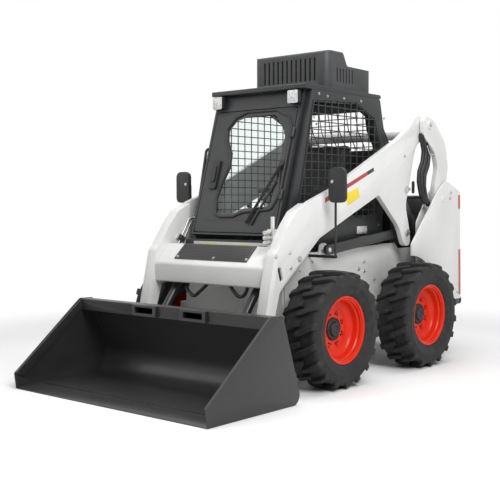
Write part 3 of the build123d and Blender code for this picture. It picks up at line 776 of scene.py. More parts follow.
def tube(name: str, runs: list[list[Vector]], radius: float, finish: "Slot | str", body: str, *replaced: str,
         bend: float = 0.02, closed: bool = False, facets: int = 12, slot: Slot | None = None) -> None:
    """Round tube along runs of points, as a piece that rides on a body.

    Args:
        name: the piece's name.
        runs: the runs, in the frame's metres.
        radius: the tube's radius in metres.
        finish: its finish.
        body: the body that carries it.
        replaced: CAD nodes that it stands for.
        bend: the radius of the bends in metres.
        closed: whether each run is a closed loop.
        facets: sides of the tube.
        slot: the record's slot, where the finish isn't one.
    """
    made = SWEEP.run(name, path_mesh(runs, closed), PAINT[finish], Tube_Radius=radius, Bend_Radius=bend,
                     Facets=facets)
    put(made, body, *replaced, slot=finish if isinstance(finish, Slot) else slot)


def bolts(name: str, spots: list[tuple[Vector, Vector]], body: str, radius: float = 0.0085,
          height: float = 0.006, washer: float = 0.0135, finish: "Slot | str" = Slot.STEEL,
          sides: int = 6) -> None:
    """Bolt heads at (point, direction) pairs, as a piece that rides on a body.

    Args:
        name: the piece's name.
        spots: points in the frame's metres, with the way that each head faces.
        body: the body that carries them.
        radius: the head's radius in metres.
        height: the head's height in metres.
        washer: the washer's radius in metres.
        finish: their finish.
        sides: sides of the head.
    """
    mesh = bpy.data.meshes.new("spots")
    mesh.from_pydata([tuple(p) for p, _ in spots], [], [])
    facing = mesh.attributes.new("facing", "FLOAT_VECTOR", "POINT")
    facing.data.foreach_set("vector", [c for _, way in spots for c in way])
    made = BOLTS.run(name, mesh, PAINT[finish], Head_Radius=radius, Head_Height=height, Washer_Radius=washer,
                     Head_Sides=sides)
    put(made, body, slot=finish if isinstance(finish, Slot) else None)


def side_spots(places: list | tuple, y: float) -> list[tuple[Vector, Vector]]:
    """Points at (x, z) places on both sides, a distance y out, with the way that each faces."""
    return [(at(x, hand * y, z), Vector((0.0, hand, 0.0))) for x, z in places for hand in SIDES.values()]


@dataclass
class Sheetwork:
    """Plates and weldments of the CAD model, with the eased edges of cut and folded steel."""

    widths: dict[str, float] = field(default_factory=lambda: {
        "lift_arm_left": 4.0, "lift_arm_right": 4.0, "arm_cross_member": 4.0, "arm_cross_tube": 2.0,
        "step_plate": 1.5, "rear_links": 4.0, "control_links": 4.0, "towers": 3.0, "side_panels": 3.0,
        "main_frame": 3.0, "tailgate": 4.0, "rear_bumper": 3.0, "engine_hood": 3.0, "engine_block": 6.0,
        "quick_attach": 2.5, "bucket_shell": 2.0, "cutting_edge": 2.5, "cab_side_left": 4.0,
        "cab_side_right": 4.0, "cab_roof": 5.0, "cab_back": 3.0, "cab_floor": 2.0, "cab_front": 3.5,
        "cab_sill": 4.0, "door_frame": 2.5, "ac_unit": 4.0, "mirrors": 4.0, "axle_tubes": 2.0,
        "lift_barrels": 2.0, "lift_rods": 1.0, "tilt_barrels": 2.0, "tilt_rods": 1.0})

    def build(self) -> None:
        """Makes an eased copy of each node, which stands for it."""
        slots = {row["node"]: row["material_slot"] for row in frame["record"]["subparts"]}
        for node, width in self.widths.items():
            slot = Slot(slots[node])
            copy = soften(frame["nodes"][node].data.copy(), width / 1000.0)
            put(link(node + "_finished", copy, PAINT[slot]), frame["nodes"][node]["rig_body"], node, slot=slot)
        for node, obj in frame["nodes"].items():
            if node not in self.widths:
                obj.data.materials.clear()
                obj.data.materials.append(PAINT[Slot(slots[node])])


@dataclass
class Wheel:
    """One wheel: tyre carcass, moulded lugs, rim and its bolts."""

    end: str
    side: str
    lug_count: int = 18
    advance: float = 46.0
    half_lug: float = 18.0
    bolt_count: int = 8
    bolt_circle: float = 101.5
    bolt_step: float = 16.0
    bolt_face: float = 10.2
    first_bolt: float = 22.5
    hole_spread: float = 6.0
    inboard_shade_offset: float = -4.5

    def __post_init__(self) -> None:
        """Works out the wheel's middle and its body."""
        self.hand = SIDES[self.side]
        along = WHEELBASE / 2 if self.end == "front" else -WHEELBASE / 2
        self.centre = at(along, self.hand * TYRE_CENTRE_Y, TYRE_RADIUS)
        self.body = f"wheel_{self.end}_{self.side}"
        self.tag = f"{self.end}_{self.side}"

    def carcass(self) -> bpy.types.Mesh:
        """Tyre without its lugs."""
        half = TYRE_WIDTH / 2
        falls = [(64, 30), (90, 28), (106, 25), (117, 28), (125, 35), (129.5, 44), (131.6, 54), (131.8, 80),
                 (133.2, 87), (133.2, 93), (131.0, 96), (127, 122)]
        wall = [(y, TYRE_RADIUS - fall) for y, fall in falls]
        wall += [(121, 244), (118.5, 240), (118.5, 236), (115, 233), (half - 20, 227), (half - 39, 226),
                 (half - 39, 201)]
        profile = wall + [(-y, r) for y, r in reversed(wall)]
        return spun(profile, 108, self.centre, self.hand)

    def lug(self, hand: float) -> bpy.types.Mesh:
        """One lug about the origin, pointing along +X, on one half of the tread."""
        base = TYRE_RADIUS - 34.0
        stations = [(-14, 0, 0, -1, 15.5), (20, 0, 0, 8, 16), (60, 0, 0, 25, 17.5), (96, 0, 0, 43, 18.5),
                    (112, 3, 2, 50, 19.5), (123, 7, 6, 55, 20), (129.5, 12, 12, 57, 20),
                    (132.0, 17, 20, 58, 19)]
        points, faces = [], []
        for y, fall, depth, ahead, wide in stations:
            for inner, flare in ((True, 1.22), (False, 1.0), (False, -1.0), (True, -1.22)):
                s = ahead + wide * flare
                outer = math.sqrt(TYRE_RADIUS ** 2 - (abs(ahead) + wide) ** 2) - fall - 0.4
                points.append(Vector((base - depth if inner else outer, self.hand * hand * y,
                                      hand * s)) / 1000.0)
        for k in range(len(stations) - 1):
            for i in range(4):
                j = (i + 1) % 4
                faces.append([4 * k + i, 4 * k + j, 4 * k + 4 + j, 4 * k + 4 + i])
        last = 4 * (len(stations) - 1)
        faces += [[0, 1, 2, 3], [last + 3, last + 2, last + 1, last]]
        mesh = new_mesh(points, faces)
        return soften(mesh, 0.0032, math.radians(35.0))

    def tyre(self) -> None:
        """Carcass and both rows of lugs as one piece."""
        step = 2 * math.pi / self.lug_count
        lowest = math.radians(90.0) + math.asin((self.advance + self.half_lug) / TYRE_RADIUS)
        rows = []
        for hand in (1.0, -1.0):
            start = lowest + (0.5 * step if hand < 0 else 0.0)
            rows.append(RING.run(f"lugs_{self.tag}_{int(hand)}", self.lug(hand), PAINT[Slot.TYRE],
                                 Count=self.lug_count, Centre=self.centre, Start=start, Step=step))
        carcass = self.carcass()
        smooth(carcass, math.radians(30.0))
        mesh = joined([carcass] + [row.data for row in rows])
        for row in rows:
            bpy.data.objects.remove(row)
        node = f"tyre_{self.tag}"
        put(link(node + "_moulded", mesh, PAINT[Slot.TYRE]), self.body, node, slot=Slot.TYRE)

    def rim(self) -> None:
        """Rolled rim with its bolting disc, hub cover and bolts, its inboard faces black as painted shade, and
        dark discs of painted shade in the bolt holes.
        """
        profile = [(112, 221), (110, 224), (102, 224), (99, 222), (97, 199), (-96, 198), (-100, 224),
                   (-112, 224), (-104, 188), (-4, 188), (-4, 40), (10, 40), (10, 147), (13, 158), (22, 176),
                   (34, 186), (44, 189), (62, 189), (72, 191), (79, 197), (84, 203), (92, 207), (101, 208),
                   (107, 211)]
        rim = spun(rounded([(y, r, 2.0) if 60 < y < 90 else (y, r) for y, r in profile], 2), 120, self.centre,
                   self.hand)
        smooth(rim, math.radians(32.0))
        node = f"rim_{self.tag}"
        piece = link(node + "_spun", rim, PAINT[Slot.RIM_ORANGE])
        # painted shade: faces inboard of the disc are painted black for the shade inside the wheel
        rim.materials.append(PAINT[Slot.PAINT_BLACK])
        middle = self.centre.y + self.hand * self.inboard_shade_offset / 1000.0
        for face in rim.polygons:
            if (face.center.y - middle) * self.hand < 0.0:
                face.material_index = 1
        put(piece, self.body, node, slot=Slot.RIM_ORANGE)
        hub = spun(rounded([(8, 0.01), (8, 40), (10.5, 75), (20, 74, 4), (26, 66, 3), (20, 62, 2),
                            (20, 50, 2), (34, 46, 4), (36, 22, 3), (31, 20, 1),
                            (31, 0.01)], 4), 64, self.centre, self.hand)
        smooth(hub, math.radians(40.0))
        put(link(f"hub_{self.tag}", hub, PAINT["black_plastic"]), self.body)
        spots, holes = [], []
        for k in range(self.bolt_count):
            for offset in (-self.hole_spread, 0.0, self.hole_spread):
                a = math.radians(self.first_bolt + 360.0 / self.bolt_count * k + offset)
                reach = self.bolt_circle if offset else self.bolt_circle + self.bolt_step
                place = Vector((reach * math.cos(a), self.hand * self.bolt_face, reach * math.sin(a)))
                spot = self.centre + place / 1000.0
                (holes if offset else spots).append((spot, Vector((0.0, self.hand, 0.0))))
        bolts(f"wheel_bolts_{self.tag}", spots, self.body, 0.008, 0.009, 0.0125, "rim_enamel")
        # painted shade: dark discs stand for the shade in the rim's bolt holes
        bolts(f"wheel_studs_{self.tag}", holes, self.body, 0.005, 0.003, 0.006, "painted_shade_black", 16)

    def build(self) -> None:
        """Makes the wheel's pieces."""
        self.tyre()
        self.rim()


def split_islands(mesh: bpy.types.Mesh) -> list[bpy.types.Mesh]:
    """The separate solids of a node's mesh, in order of the Y of their middles."""
    work = bmesh.new()
    work.from_mesh(mesh)
    bmesh.ops.remove_doubles(work, verts=work.verts, dist=MERGE_DISTANCE)
    work.faces.ensure_lookup_table()
    left = set(range(len(work.faces)))
    groups = []
    while left:
        stack = [left.pop()]
        group = []
        while stack:
            face = work.faces[stack.pop()]
            group.append(face.index)
            for edge in face.edges:
                for other in edge.link_faces:
                    if other.index in left:
                        left.remove(other.index)
                        stack.append(other.index)
        groups.append(group)
    found = []
    for group in groups:
        used = sorted({v.index for i in group for v in work.faces[i].verts})
        index = {old: new for new, old in enumerate(used)}
        work.verts.ensure_lookup_table()
        points = [work.verts[i].co.copy() for i in used]
        faces = [[index[v.index] for v in work.faces[i].verts] for i in group]
        middle = sum((p.y for p in points)) / len(points)
        found.append((middle, new_mesh(points, faces)))
    work.free()
    return [piece for _, piece in sorted(found, key=lambda pair: pair[0])]


def box_outline(low: tuple[float, float], high: tuple[float, float], radius: float = 0.0) -> list:
    """Rectangle between two corners, its own corners rounded."""
    return rounded([(low[0], low[1], radius), (high[0], low[1], radius), (high[0], high[1], radius),
                    (low[0], high[1], radius)], 4)


def ring_outline(u: float, v: float, radius: float, steps: int = 36) -> list[tuple[float, float]]:
    """Circle as an outline."""
    return [(u + radius * math.cos(2 * math.pi * k / steps), v + radius * math.sin(2 * math.pi * k / steps))
            for k in range(steps)]


def ring_plate(sheet: Sheet, outer: list, inner: list, low: float, high: float) -> bpy.types.Mesh:
    """Flat plate between two outlines.

    Args:
        sheet: the plane that it lies on.
        outer: its outer outline.
        inner: the outline of its opening.
        low: its underside's height over the plane, in millimetres.
        high: its top's height.

    Returns:
        The mesh.
    """
    curve = bpy.data.curves.new("ring", "CURVE")
    curve.dimensions = "2D"
    curve.fill_mode = "BOTH"
    curve.extrude = (high - low) / 2
    for loop in (outer, inner):
        spline = curve.splines.new("POLY")
        spline.points.add(len(loop) - 1)
        for point, (u, v) in zip(spline.points, loop):
            point.co = (u, v, 0.0, 1.0)
        spline.use_cyclic_u = True
    holder = bpy.data.objects.new("ring", curve)
    flat_mesh = bpy.data.meshes.new_from_object(holder)
    bpy.data.objects.remove(holder)
    points = [sheet.point(v.co.x, v.co.y, v.co.z + (low + high) / 2) for v in flat_mesh.vertices]
    return new_mesh(points, [list(face.vertices) for face in flat_mesh.polygons])


def mirrored(outline: list[tuple[float, ...]], hand: float) -> list[tuple[float, ...]]:
    """Outline in (x, z) brought to the drawing directions of that side's sheet."""
    return [(-hand * corner[0], *corner[1:]) for corner in outline]


def nose_sheet(x: float) -> Sheet:
    """Plane that faces forwards, drawn in (y, z)."""
    return Sheet((x, 0.0, 0.0), (0.0, 1.0, 0.0), (0.0, 0.0, 1.0))


def tail_sheet(x: float) -> Sheet:
    """Plane that faces backwards, drawn in (-y, z)."""
    return Sheet((x, 0.0, 0.0), (0.0, -1.0, 0.0), (0.0, 0.0, 1.0))


def flat(sheet: Sheet, outline: list, low: float, high: float, ease: float = 0.5) -> bpy.types.Mesh:
    """Plate whose edges are eased.

    Args:
        sheet: the plane that it lies on.
        outline: its outline.
        low: its underside's height over the plane, in millimetres.
        high: its top's height.
        ease: the width of its eased edges, in millimetres.

    Returns:
        The mesh.
    """
    return soften(plate(sheet, outline, low, high), ease / 1000.0)


def dress(name: str, meshes: list[bpy.types.Mesh], finish: "Slot | str", body: str, *replaced: str,
          slot: Slot | None = None) -> bpy.types.Object:
    """Joins meshes into one finished piece that rides on a body.

    Args:
        name: the piece's name.
        meshes: what it is made of.
        finish: its finish.
        body: the body that carries it.
        replaced: CAD nodes that it stands for.
        slot: the record's slot, where the finish isn't one.

    Returns:
        The piece.
    """
    mesh = joined(meshes)
    smooth(mesh, PIECE_LIMIT)
    named = finish if isinstance(finish, Slot) else slot
    return put(link(name, mesh, PAINT[finish]), body, *replaced, slot=named)


def side_flat(y: float, hand: float, outline: list, low: float, high: float, ease: float) -> bpy.types.Mesh:
    """Eased plate over one side of the machine, its outline in (x, z)."""
    return flat(side_sheet(y, hand), mirrored(outline, hand), low, high, ease)


def level_sheet(z: float) -> Sheet:
    """Level plane, drawn in (x, y)."""
    return Sheet((0.0, 0.0, z), (1.0, 0.0, 0.0), (0.0, 1.0, 0.0))


def repeat(name: str, mesh: bpy.types.Mesh, count: int, step: tuple[float, float, float]) -> bpy.types.Mesh:
    """Row of copies as one mesh, a step in millimetres apart."""
    row = ROW.run(name, mesh, PAINT["painted_shade_black"], Count=count, Step=tuple(c / 1000.0 for c in step))
    made = row.data
    bpy.data.objects.remove(row)
    return made


@dataclass
class CabDress:
    """What the cab carries: wire screens, door seal, latch, wiper, bolts, vents and lamps."""

    wire: float = 4.0
    pitch_x: float = 78.0
    pitch_z: float = 56.0
    half_width: float = 430.0
    rear_half: float = 299.0
    door_face: float = 43.1
    bend: tuple = ((-549, 1350), (-562, 1640), (-471, 1760), (-436, 1900))
    side_bolts: tuple = ((321, 1960), (222, 1950), (23, 1950), (-192, 1948), (349, 1751), (378, 1796),
                         (-500, 1844), (-470, 1500), (-470, 1250), (610, 1060), (-430, 1045))

    def screen_wires(self, outline: list[tuple[float, float]], sheet: Sheet) -> list[list[Vector]]:
        """Straight wires of both directions, cut to an outline.

        Args:
            outline: the screen's outline in its plane.
            sheet: the plane.

        Returns:
            Runs of two points.
        """
        runs = []
        for axis, pitch in ((0, self.pitch_x), (1, self.pitch_z)):
            lo = min(p[axis] for p in outline)
            hi = max(p[axis] for p in outline)
            count = int((hi - lo) / pitch)
            for k in range(1, count + 1):
                level = lo + (hi - lo) * k / (count + 1)
                cuts = []
                for a, b in zip(outline, outline[1:] + outline[:1]):
                    if (a[axis] - level) * (b[axis] - level) < 0:
                        t = (level - a[axis]) / (b[axis] - a[axis])
                        cuts.append(a[1 - axis] + t * (b[1 - axis] - a[1 - axis]))
                cuts.sort()
                for first, last in zip(cuts[::2], cuts[1::2]):
                    ends = [(level, first), (level, last)] if axis == 0 else [(first, level), (last, level)]
                    runs.append([sheet.point(u, v, 1.2 * (1 - 2 * axis)) for u, v in ends])
        return runs

    def rear_wires(self) -> list[list[Vector]]:
        """Wires of the bent screen in the rear window, along and across it."""
        runs = []
        count = int(2 * self.rear_half / self.pitch_x)
        for k in range(count + 1):
            y = self.rear_half * (2.0 * k / count - 1.0)
            runs.append([at(x, y, z) for x, z in self.bend])
        for (x0, z0), (x1, z1) in zip(self.bend, self.bend[1:]):
            rows = max(1, round(math.hypot(x1 - x0, z1 - z0) / self.pitch_z))
            for k in range(rows):
                x, z = x0 + (x1 - x0) * k / rows + 3.0, z0 + (z1 - z0) * k / rows
                runs.append([at(x, -self.rear_half, z), at(x, self.rear_half, z)])
        return runs

    def screens(self) -> None:
        """Woven guards over the side windows and the rear one."""
        corners = [(572, 1105, 30), (380, 1918, 20), (-128, 1936, 20), (-372, 1832, 30), (-444, 1624, 30),
                   (-444, 1326, 30), (-392, 1105, 30)]
        wires = self.rear_wires()
        rims = []
        for hand in SIDES.values():
            outline = mirrored(rounded(corners), hand)
            sheet = side_sheet(self.half_width + 3.0, hand)
            wires += self.screen_wires(outline, sheet)
            rims.append([sheet.point(u, v) for u, v in outline])
        tube("screen_wires", wires, self.wire / 1000.0, Slot.CAB_CHARCOAL, "machine", "side_screens",
             bend=0.004, facets=6)
        tube("screen_rims", rims, 0.0045, Slot.CAB_CHARCOAL, "machine", bend=0.0, closed=True, facets=8)

    def door_seal(self) -> None:
        """The door's skin, its thick rubber seal, the dark border of its glass, and the latch."""
        seal = rounded([(-141, 128, 14), (-188, 146, 24), (-211, 252, 40), (-192, 362, 50), (-150, 490, 45),
                        (-162, 590, 45), (-221, 681, 40), (-241, 776, 36), (-176, 860, 40), (-80, 898, 40),
                        (190, 898, 50), (300, 846, 45), (350, 760, 40), (354, 300, 50), (306, 182, 45),
                        (58, 162, 40), (-24, 130, 30)], 5)
        opening = rounded([(-140, 156, 14), (-180, 170, 20), (-192, 255, 40), (-172, 372, 50),
                           (-130, 490, 45), (-142, 596, 45), (-200, 690, 40), (-214, 772, 36),
                           (-160, 838, 40), (-62, 866, 40), (176, 866, 50), (262, 800, 45), (302, 712, 40),
                           (292, 220, 50), (262, 204, 40), (58, 190, 40), (-20, 158, 30)], 5)
        skin = rounded([(-322, 104, 30), (312, 104, 60), (360, 200, 60), (360, 770, 60), (306, 874, 50),
                        (200, 906, 30), (-196, 906, 50), (-328, 756, 60), (-328, 540, 60), (-272, 430, 60),
                        (-276, 330, 60)], 5)
        dress("door_skin", [ring_plate(FRONT, skin, seal, self.door_face, 44.3)], Slot.CAB_CHARCOAL, "door")
        dress("glass_border", [ring_plate(FRONT, seal, opening, self.door_face, 44.0)], Slot.PAINT_BLACK,
              "door")
        run = [FRONT.point(u, v, 46.0) for u, v in seal]
        tube("door_seal", [run], 0.0095, "hose_rubber", "door", bend=0.0, closed=True,
             slot=Slot.PLASTIC_BLACK)
        case = flat(FRONT, box_outline((-300, 330), (-232, 545), 14), 43, 62, 4.0)
        lever = flat(FRONT, box_outline((-286, 380), (-246, 500), 12), 62, 72, 3.0)
        dress("door_latch", [case, lever], Slot.PLASTIC_BLACK, "door")

    def wiper(self) -> None:
        """Wiper with two parallel rods, its blade, motor cap and washer hose."""
        pivot, tip = Vector((334.0, 505.0)), Vector((118.0, 81.0))
        across = (tip - pivot).normalized().orthogonal() * 6.5
        rods = [[FRONT.point(*(pivot + across * hand), 61.0), FRONT.point(*(tip + across * hand), 61.0)]
                for hand in (1.0, -1.0)]
        tube("wiper_rods", rods, 0.0032, Slot.PLASTIC_BLACK, "door", bend=0.0)
        blade = flat(FRONT, [(297, 384), (311, 376), (163, 70), (149, 78)], 44.5, 55.0, 2.0)
        cap = flat(FRONT, ring_outline(pivot.x, pivot.y, 23), 43, 68, 6.0)
        dress("wiper_blade", [blade, cap], Slot.PLASTIC_BLACK, "door")
        route = ((334, 505, 52), (318, 462, 50), (330, 400, 49), (346, 330, 48), (352, 262, 48))
        hose = [FRONT.point(*place) for place in route]
        tube("washer_hose", [hose], 0.0042, "hose_rubber", "door", slot=Slot.PLASTIC_BLACK)

    def lamps(self) -> None:
        """Work lamps with their lenses, the red strips at the rear, and the round horn."""
        pieces = split_islands(frame["nodes"]["work_lamps"].data)
        front = [soften(m, 0.003) for m in pieces if m.vertices[0].co.x > 0.0]
        rear = [soften(m, 0.0015) for m in pieces if m.vertices[0].co.x < 0.0]
        dress("lamp_cases", front, Slot.PLASTIC_BLACK, "machine", "work_lamps")
        dress("tail_reflectors", rear, "red_lens", "machine", "work_lamps", slot=Slot.LAMP)
        lenses, rims = [], []
        for hand in SIDES.values():
            low, high = sorted((hand * 301.5, hand * 388.5))
            lenses.append(flat(nose_sheet(502.2), box_outline((low, 1887.5), (high, 1974.5), 10), 3.6, 6.4,
                               1.2))
            for k in range(3):
                z = 1912.0 + 19.0 * k
                rims.append([nose_sheet(508.8).point(u, v)
                             for u, v in ring_outline((low + high) / 2, z, 8.0, 20)])
        dress("lamp_lenses", lenses, Slot.LAMP, "machine")
        tube("lamp_rings", rims, 0.0009, Slot.CHROME, "machine", bend=0.0, closed=True, facets=6)
        horn = [flat(nose_sheet(446.0), ring_outline(-361, 1842, 33), 0.0, 14.0, 3.0),
                flat(nose_sheet(446.0), ring_outline(-361, 1842, 20), 14.0, 18.0, 2.0)]
        dress("horn", horn, Slot.PLASTIC_BLACK, "machine")

    def vents(self) -> None:
        """Black sheets of painted shade in the slots of the air conditioner."""
        # painted shade: black sheets at the bottom of the slots
        front = flat(nose_sheet(90.2), box_outline((-238.5, 2086), (-223.5, 2249), 6), 0.0, 0.8, 0.2)
        slots = [repeat("front_slots", front, 12, (0.0, 42.0, 0.0))]
        for hand in SIDES.values():
            side = side_flat(328.2, hand, box_outline((-216.5, 2079), (-203.5, 2179), 5), 0.0, 0.8, 0.2)
            slots.append(repeat(f"side_slots_{int(hand)}", side, 6, (38.0, 0.0, 0.0)))
        dress("vent_slot_shade", slots, "painted_shade_black", "machine", slot=Slot.PLASTIC_BLACK)

    def bolts(self) -> None:
        """Screws of the side frames and the roof."""
        bolts("cab_bolts", side_spots(self.side_bolts, self.half_width), "machine", 0.0065, 0.004, 0.0095)

    def armrests(self) -> None:
        """Rests beside the seat with their posts, and the panel below the rear window."""
        rests = []
        for hand in SIDES.values():
            low, high = sorted((hand * 238.0, hand * 292.0))
            rests.append(flat(level_sheet(1286.0),
                              box_outline((-230, low), (140, high), 20), 0.0, 34.0, 8.0))
        dress("armrests", rests, Slot.AC_GREY, "machine")
        lower = flat(tail_sheet(-540.0), box_outline((-302, 1346), (302, 1612), 4), 0.0, 6.0, 1.0)
        dress("rear_lower_panel", [lower], Slot.CAB_CHARCOAL, "machine")
        posts = [[at(-190, hand * 265.0, 1292), at(-250, hand * 265.0, 1140), at(-250, hand * 150.0, 1100)]
                 for hand in SIDES.values()]
        tube("armrest_posts", posts, 0.011, Slot.PLASTIC_BLACK, "machine", bend=0.04)

    def build(self) -> None:
        """Makes the cab's pieces."""
        self.screens()
        self.door_seal()
        self.wiper()
        self.lamps()
        self.vents()
        self.bolts()
        self.armrests()


@dataclass
class SeatDress:
    """Operator's seat: a swollen cushion and back over a plain base."""

    half_width: float = 214.0
    swell: float = 8.0
    voxel: float = 6.0
    seam_depth: float = 5.0
    seam_width: float = 7.0
    seams: tuple = (-88.0, 88.0)

    def inflate(self, mesh: bpy.types.Mesh) -> bpy.types.Mesh:
        """Blows a pad up as stuffed cloth, no point further than the swell.

        Args:
            mesh: the slack pad.

        Returns:
            The full pad, remeshed.
        """
        work = link("pad_slack", mesh)
        voxels = work.modifiers.new("voxels", "REMESH")
        voxels.mode = "VOXEL"
        voxels.voxel_size = self.voxel / 1000.0
        bpy.context.view_layer.update()
        solid = bpy.data.meshes.new_from_object(work.evaluated_get(bpy.context.evaluated_depsgraph_get()))
        bpy.data.objects.remove(work)
        work = link("pad_cloth", solid)
        cloth = work.modifiers.new("cloth", "CLOTH")
        cloth.settings.use_pressure = True
        cloth.settings.uniform_pressure_force = 4.0
        cloth.settings.effector_weights.gravity = 0.0
        scene = bpy.context.scene
        for number in range(1, 21):
            scene.frame_set(number)
        blown = work.evaluated_get(bpy.context.evaluated_depsgraph_get())
        goals = [v.co.copy() for v in blown.data.vertices]
        for vertex, goal in zip(solid.vertices, goals):
            move = goal - vertex.co
            limit = self.swell / 1000.0
            if move.length > limit:
                move *= limit / move.length
            vertex.co += move
        scene.frame_set(1)
        bpy.data.objects.remove(work)
        return solid

    def sew(self, mesh: bpy.types.Mesh, lines: list[tuple[int, float]]) -> None:
        """Presses seams into a pad where a coordinate of its own frame equals a level.

        Args:
            mesh: the pad.
            lines: the axis and its level in the machine's millimetres.
        """
        normals = [v.normal.copy() for v in mesh.vertices]
        for vertex, normal in zip(mesh.vertices, normals):
            place = (vertex.co.x * 1000.0 - SHIFT, vertex.co.y * 1000.0, vertex.co.z * 1000.0)
            dent = 0.0
            for axis, level in lines:
                dent = max(dent, math.exp(-((place[axis] - level) / self.seam_width) ** 2))
            vertex.co -= normal * dent * self.seam_depth / 1000.0

    def pad(self, name: str, corners: list[Corner], lines: list[tuple[int, float]]) -> None:
        """One padded piece from its side outline.

        Args:
            name: the piece's name.
            corners: its outline in (x, z).
            lines: its seams.
        """
        outline = mirrored(rounded(corners, 5), 1.0)
        mesh = soften(plate(side_sheet(self.half_width, 1.0), outline, -2 * self.half_width, 0.0), 0.022)
        mesh = self.inflate(mesh)
        self.sew(mesh, lines)
        for face in mesh.polygons:
            face.use_smooth = True
        piece = link(name, mesh, PAINT[Slot.SEAT_BLACK])
        put(piece, "machine", "seat", slot=Slot.SEAT_BLACK)

    def build(self) -> None:
        """Makes the seat."""
        across = [(1, y) for y in self.seams]
        self.pad("seat_cushion", [(-300, 1098, 22), (92, 1098, 25), (108, 1168, 32), (-232, 1152, 20)],
                 across + [(0, -60.0)])
        self.pad("seat_back", [(-342, 1134, 20), (-252, 1176, 25), (-308, 1650, 38), (-390, 1650, 38),
                               (-394, 1300, 60)], across + [(2, 1330.0), (2, 1470.0), (2, 1600.0)])
        base = [flat(level_sheet(931.0), box_outline((-298, -178), (58, 178), 18), 0.0, 150.0, 5.0),
                flat(level_sheet(1081.0), box_outline((-330, -205), (80, 205), 24), 0.0, 10.0, 3.0)]
        dress("seat_base", base, Slot.PLASTIC_BLACK, "machine")


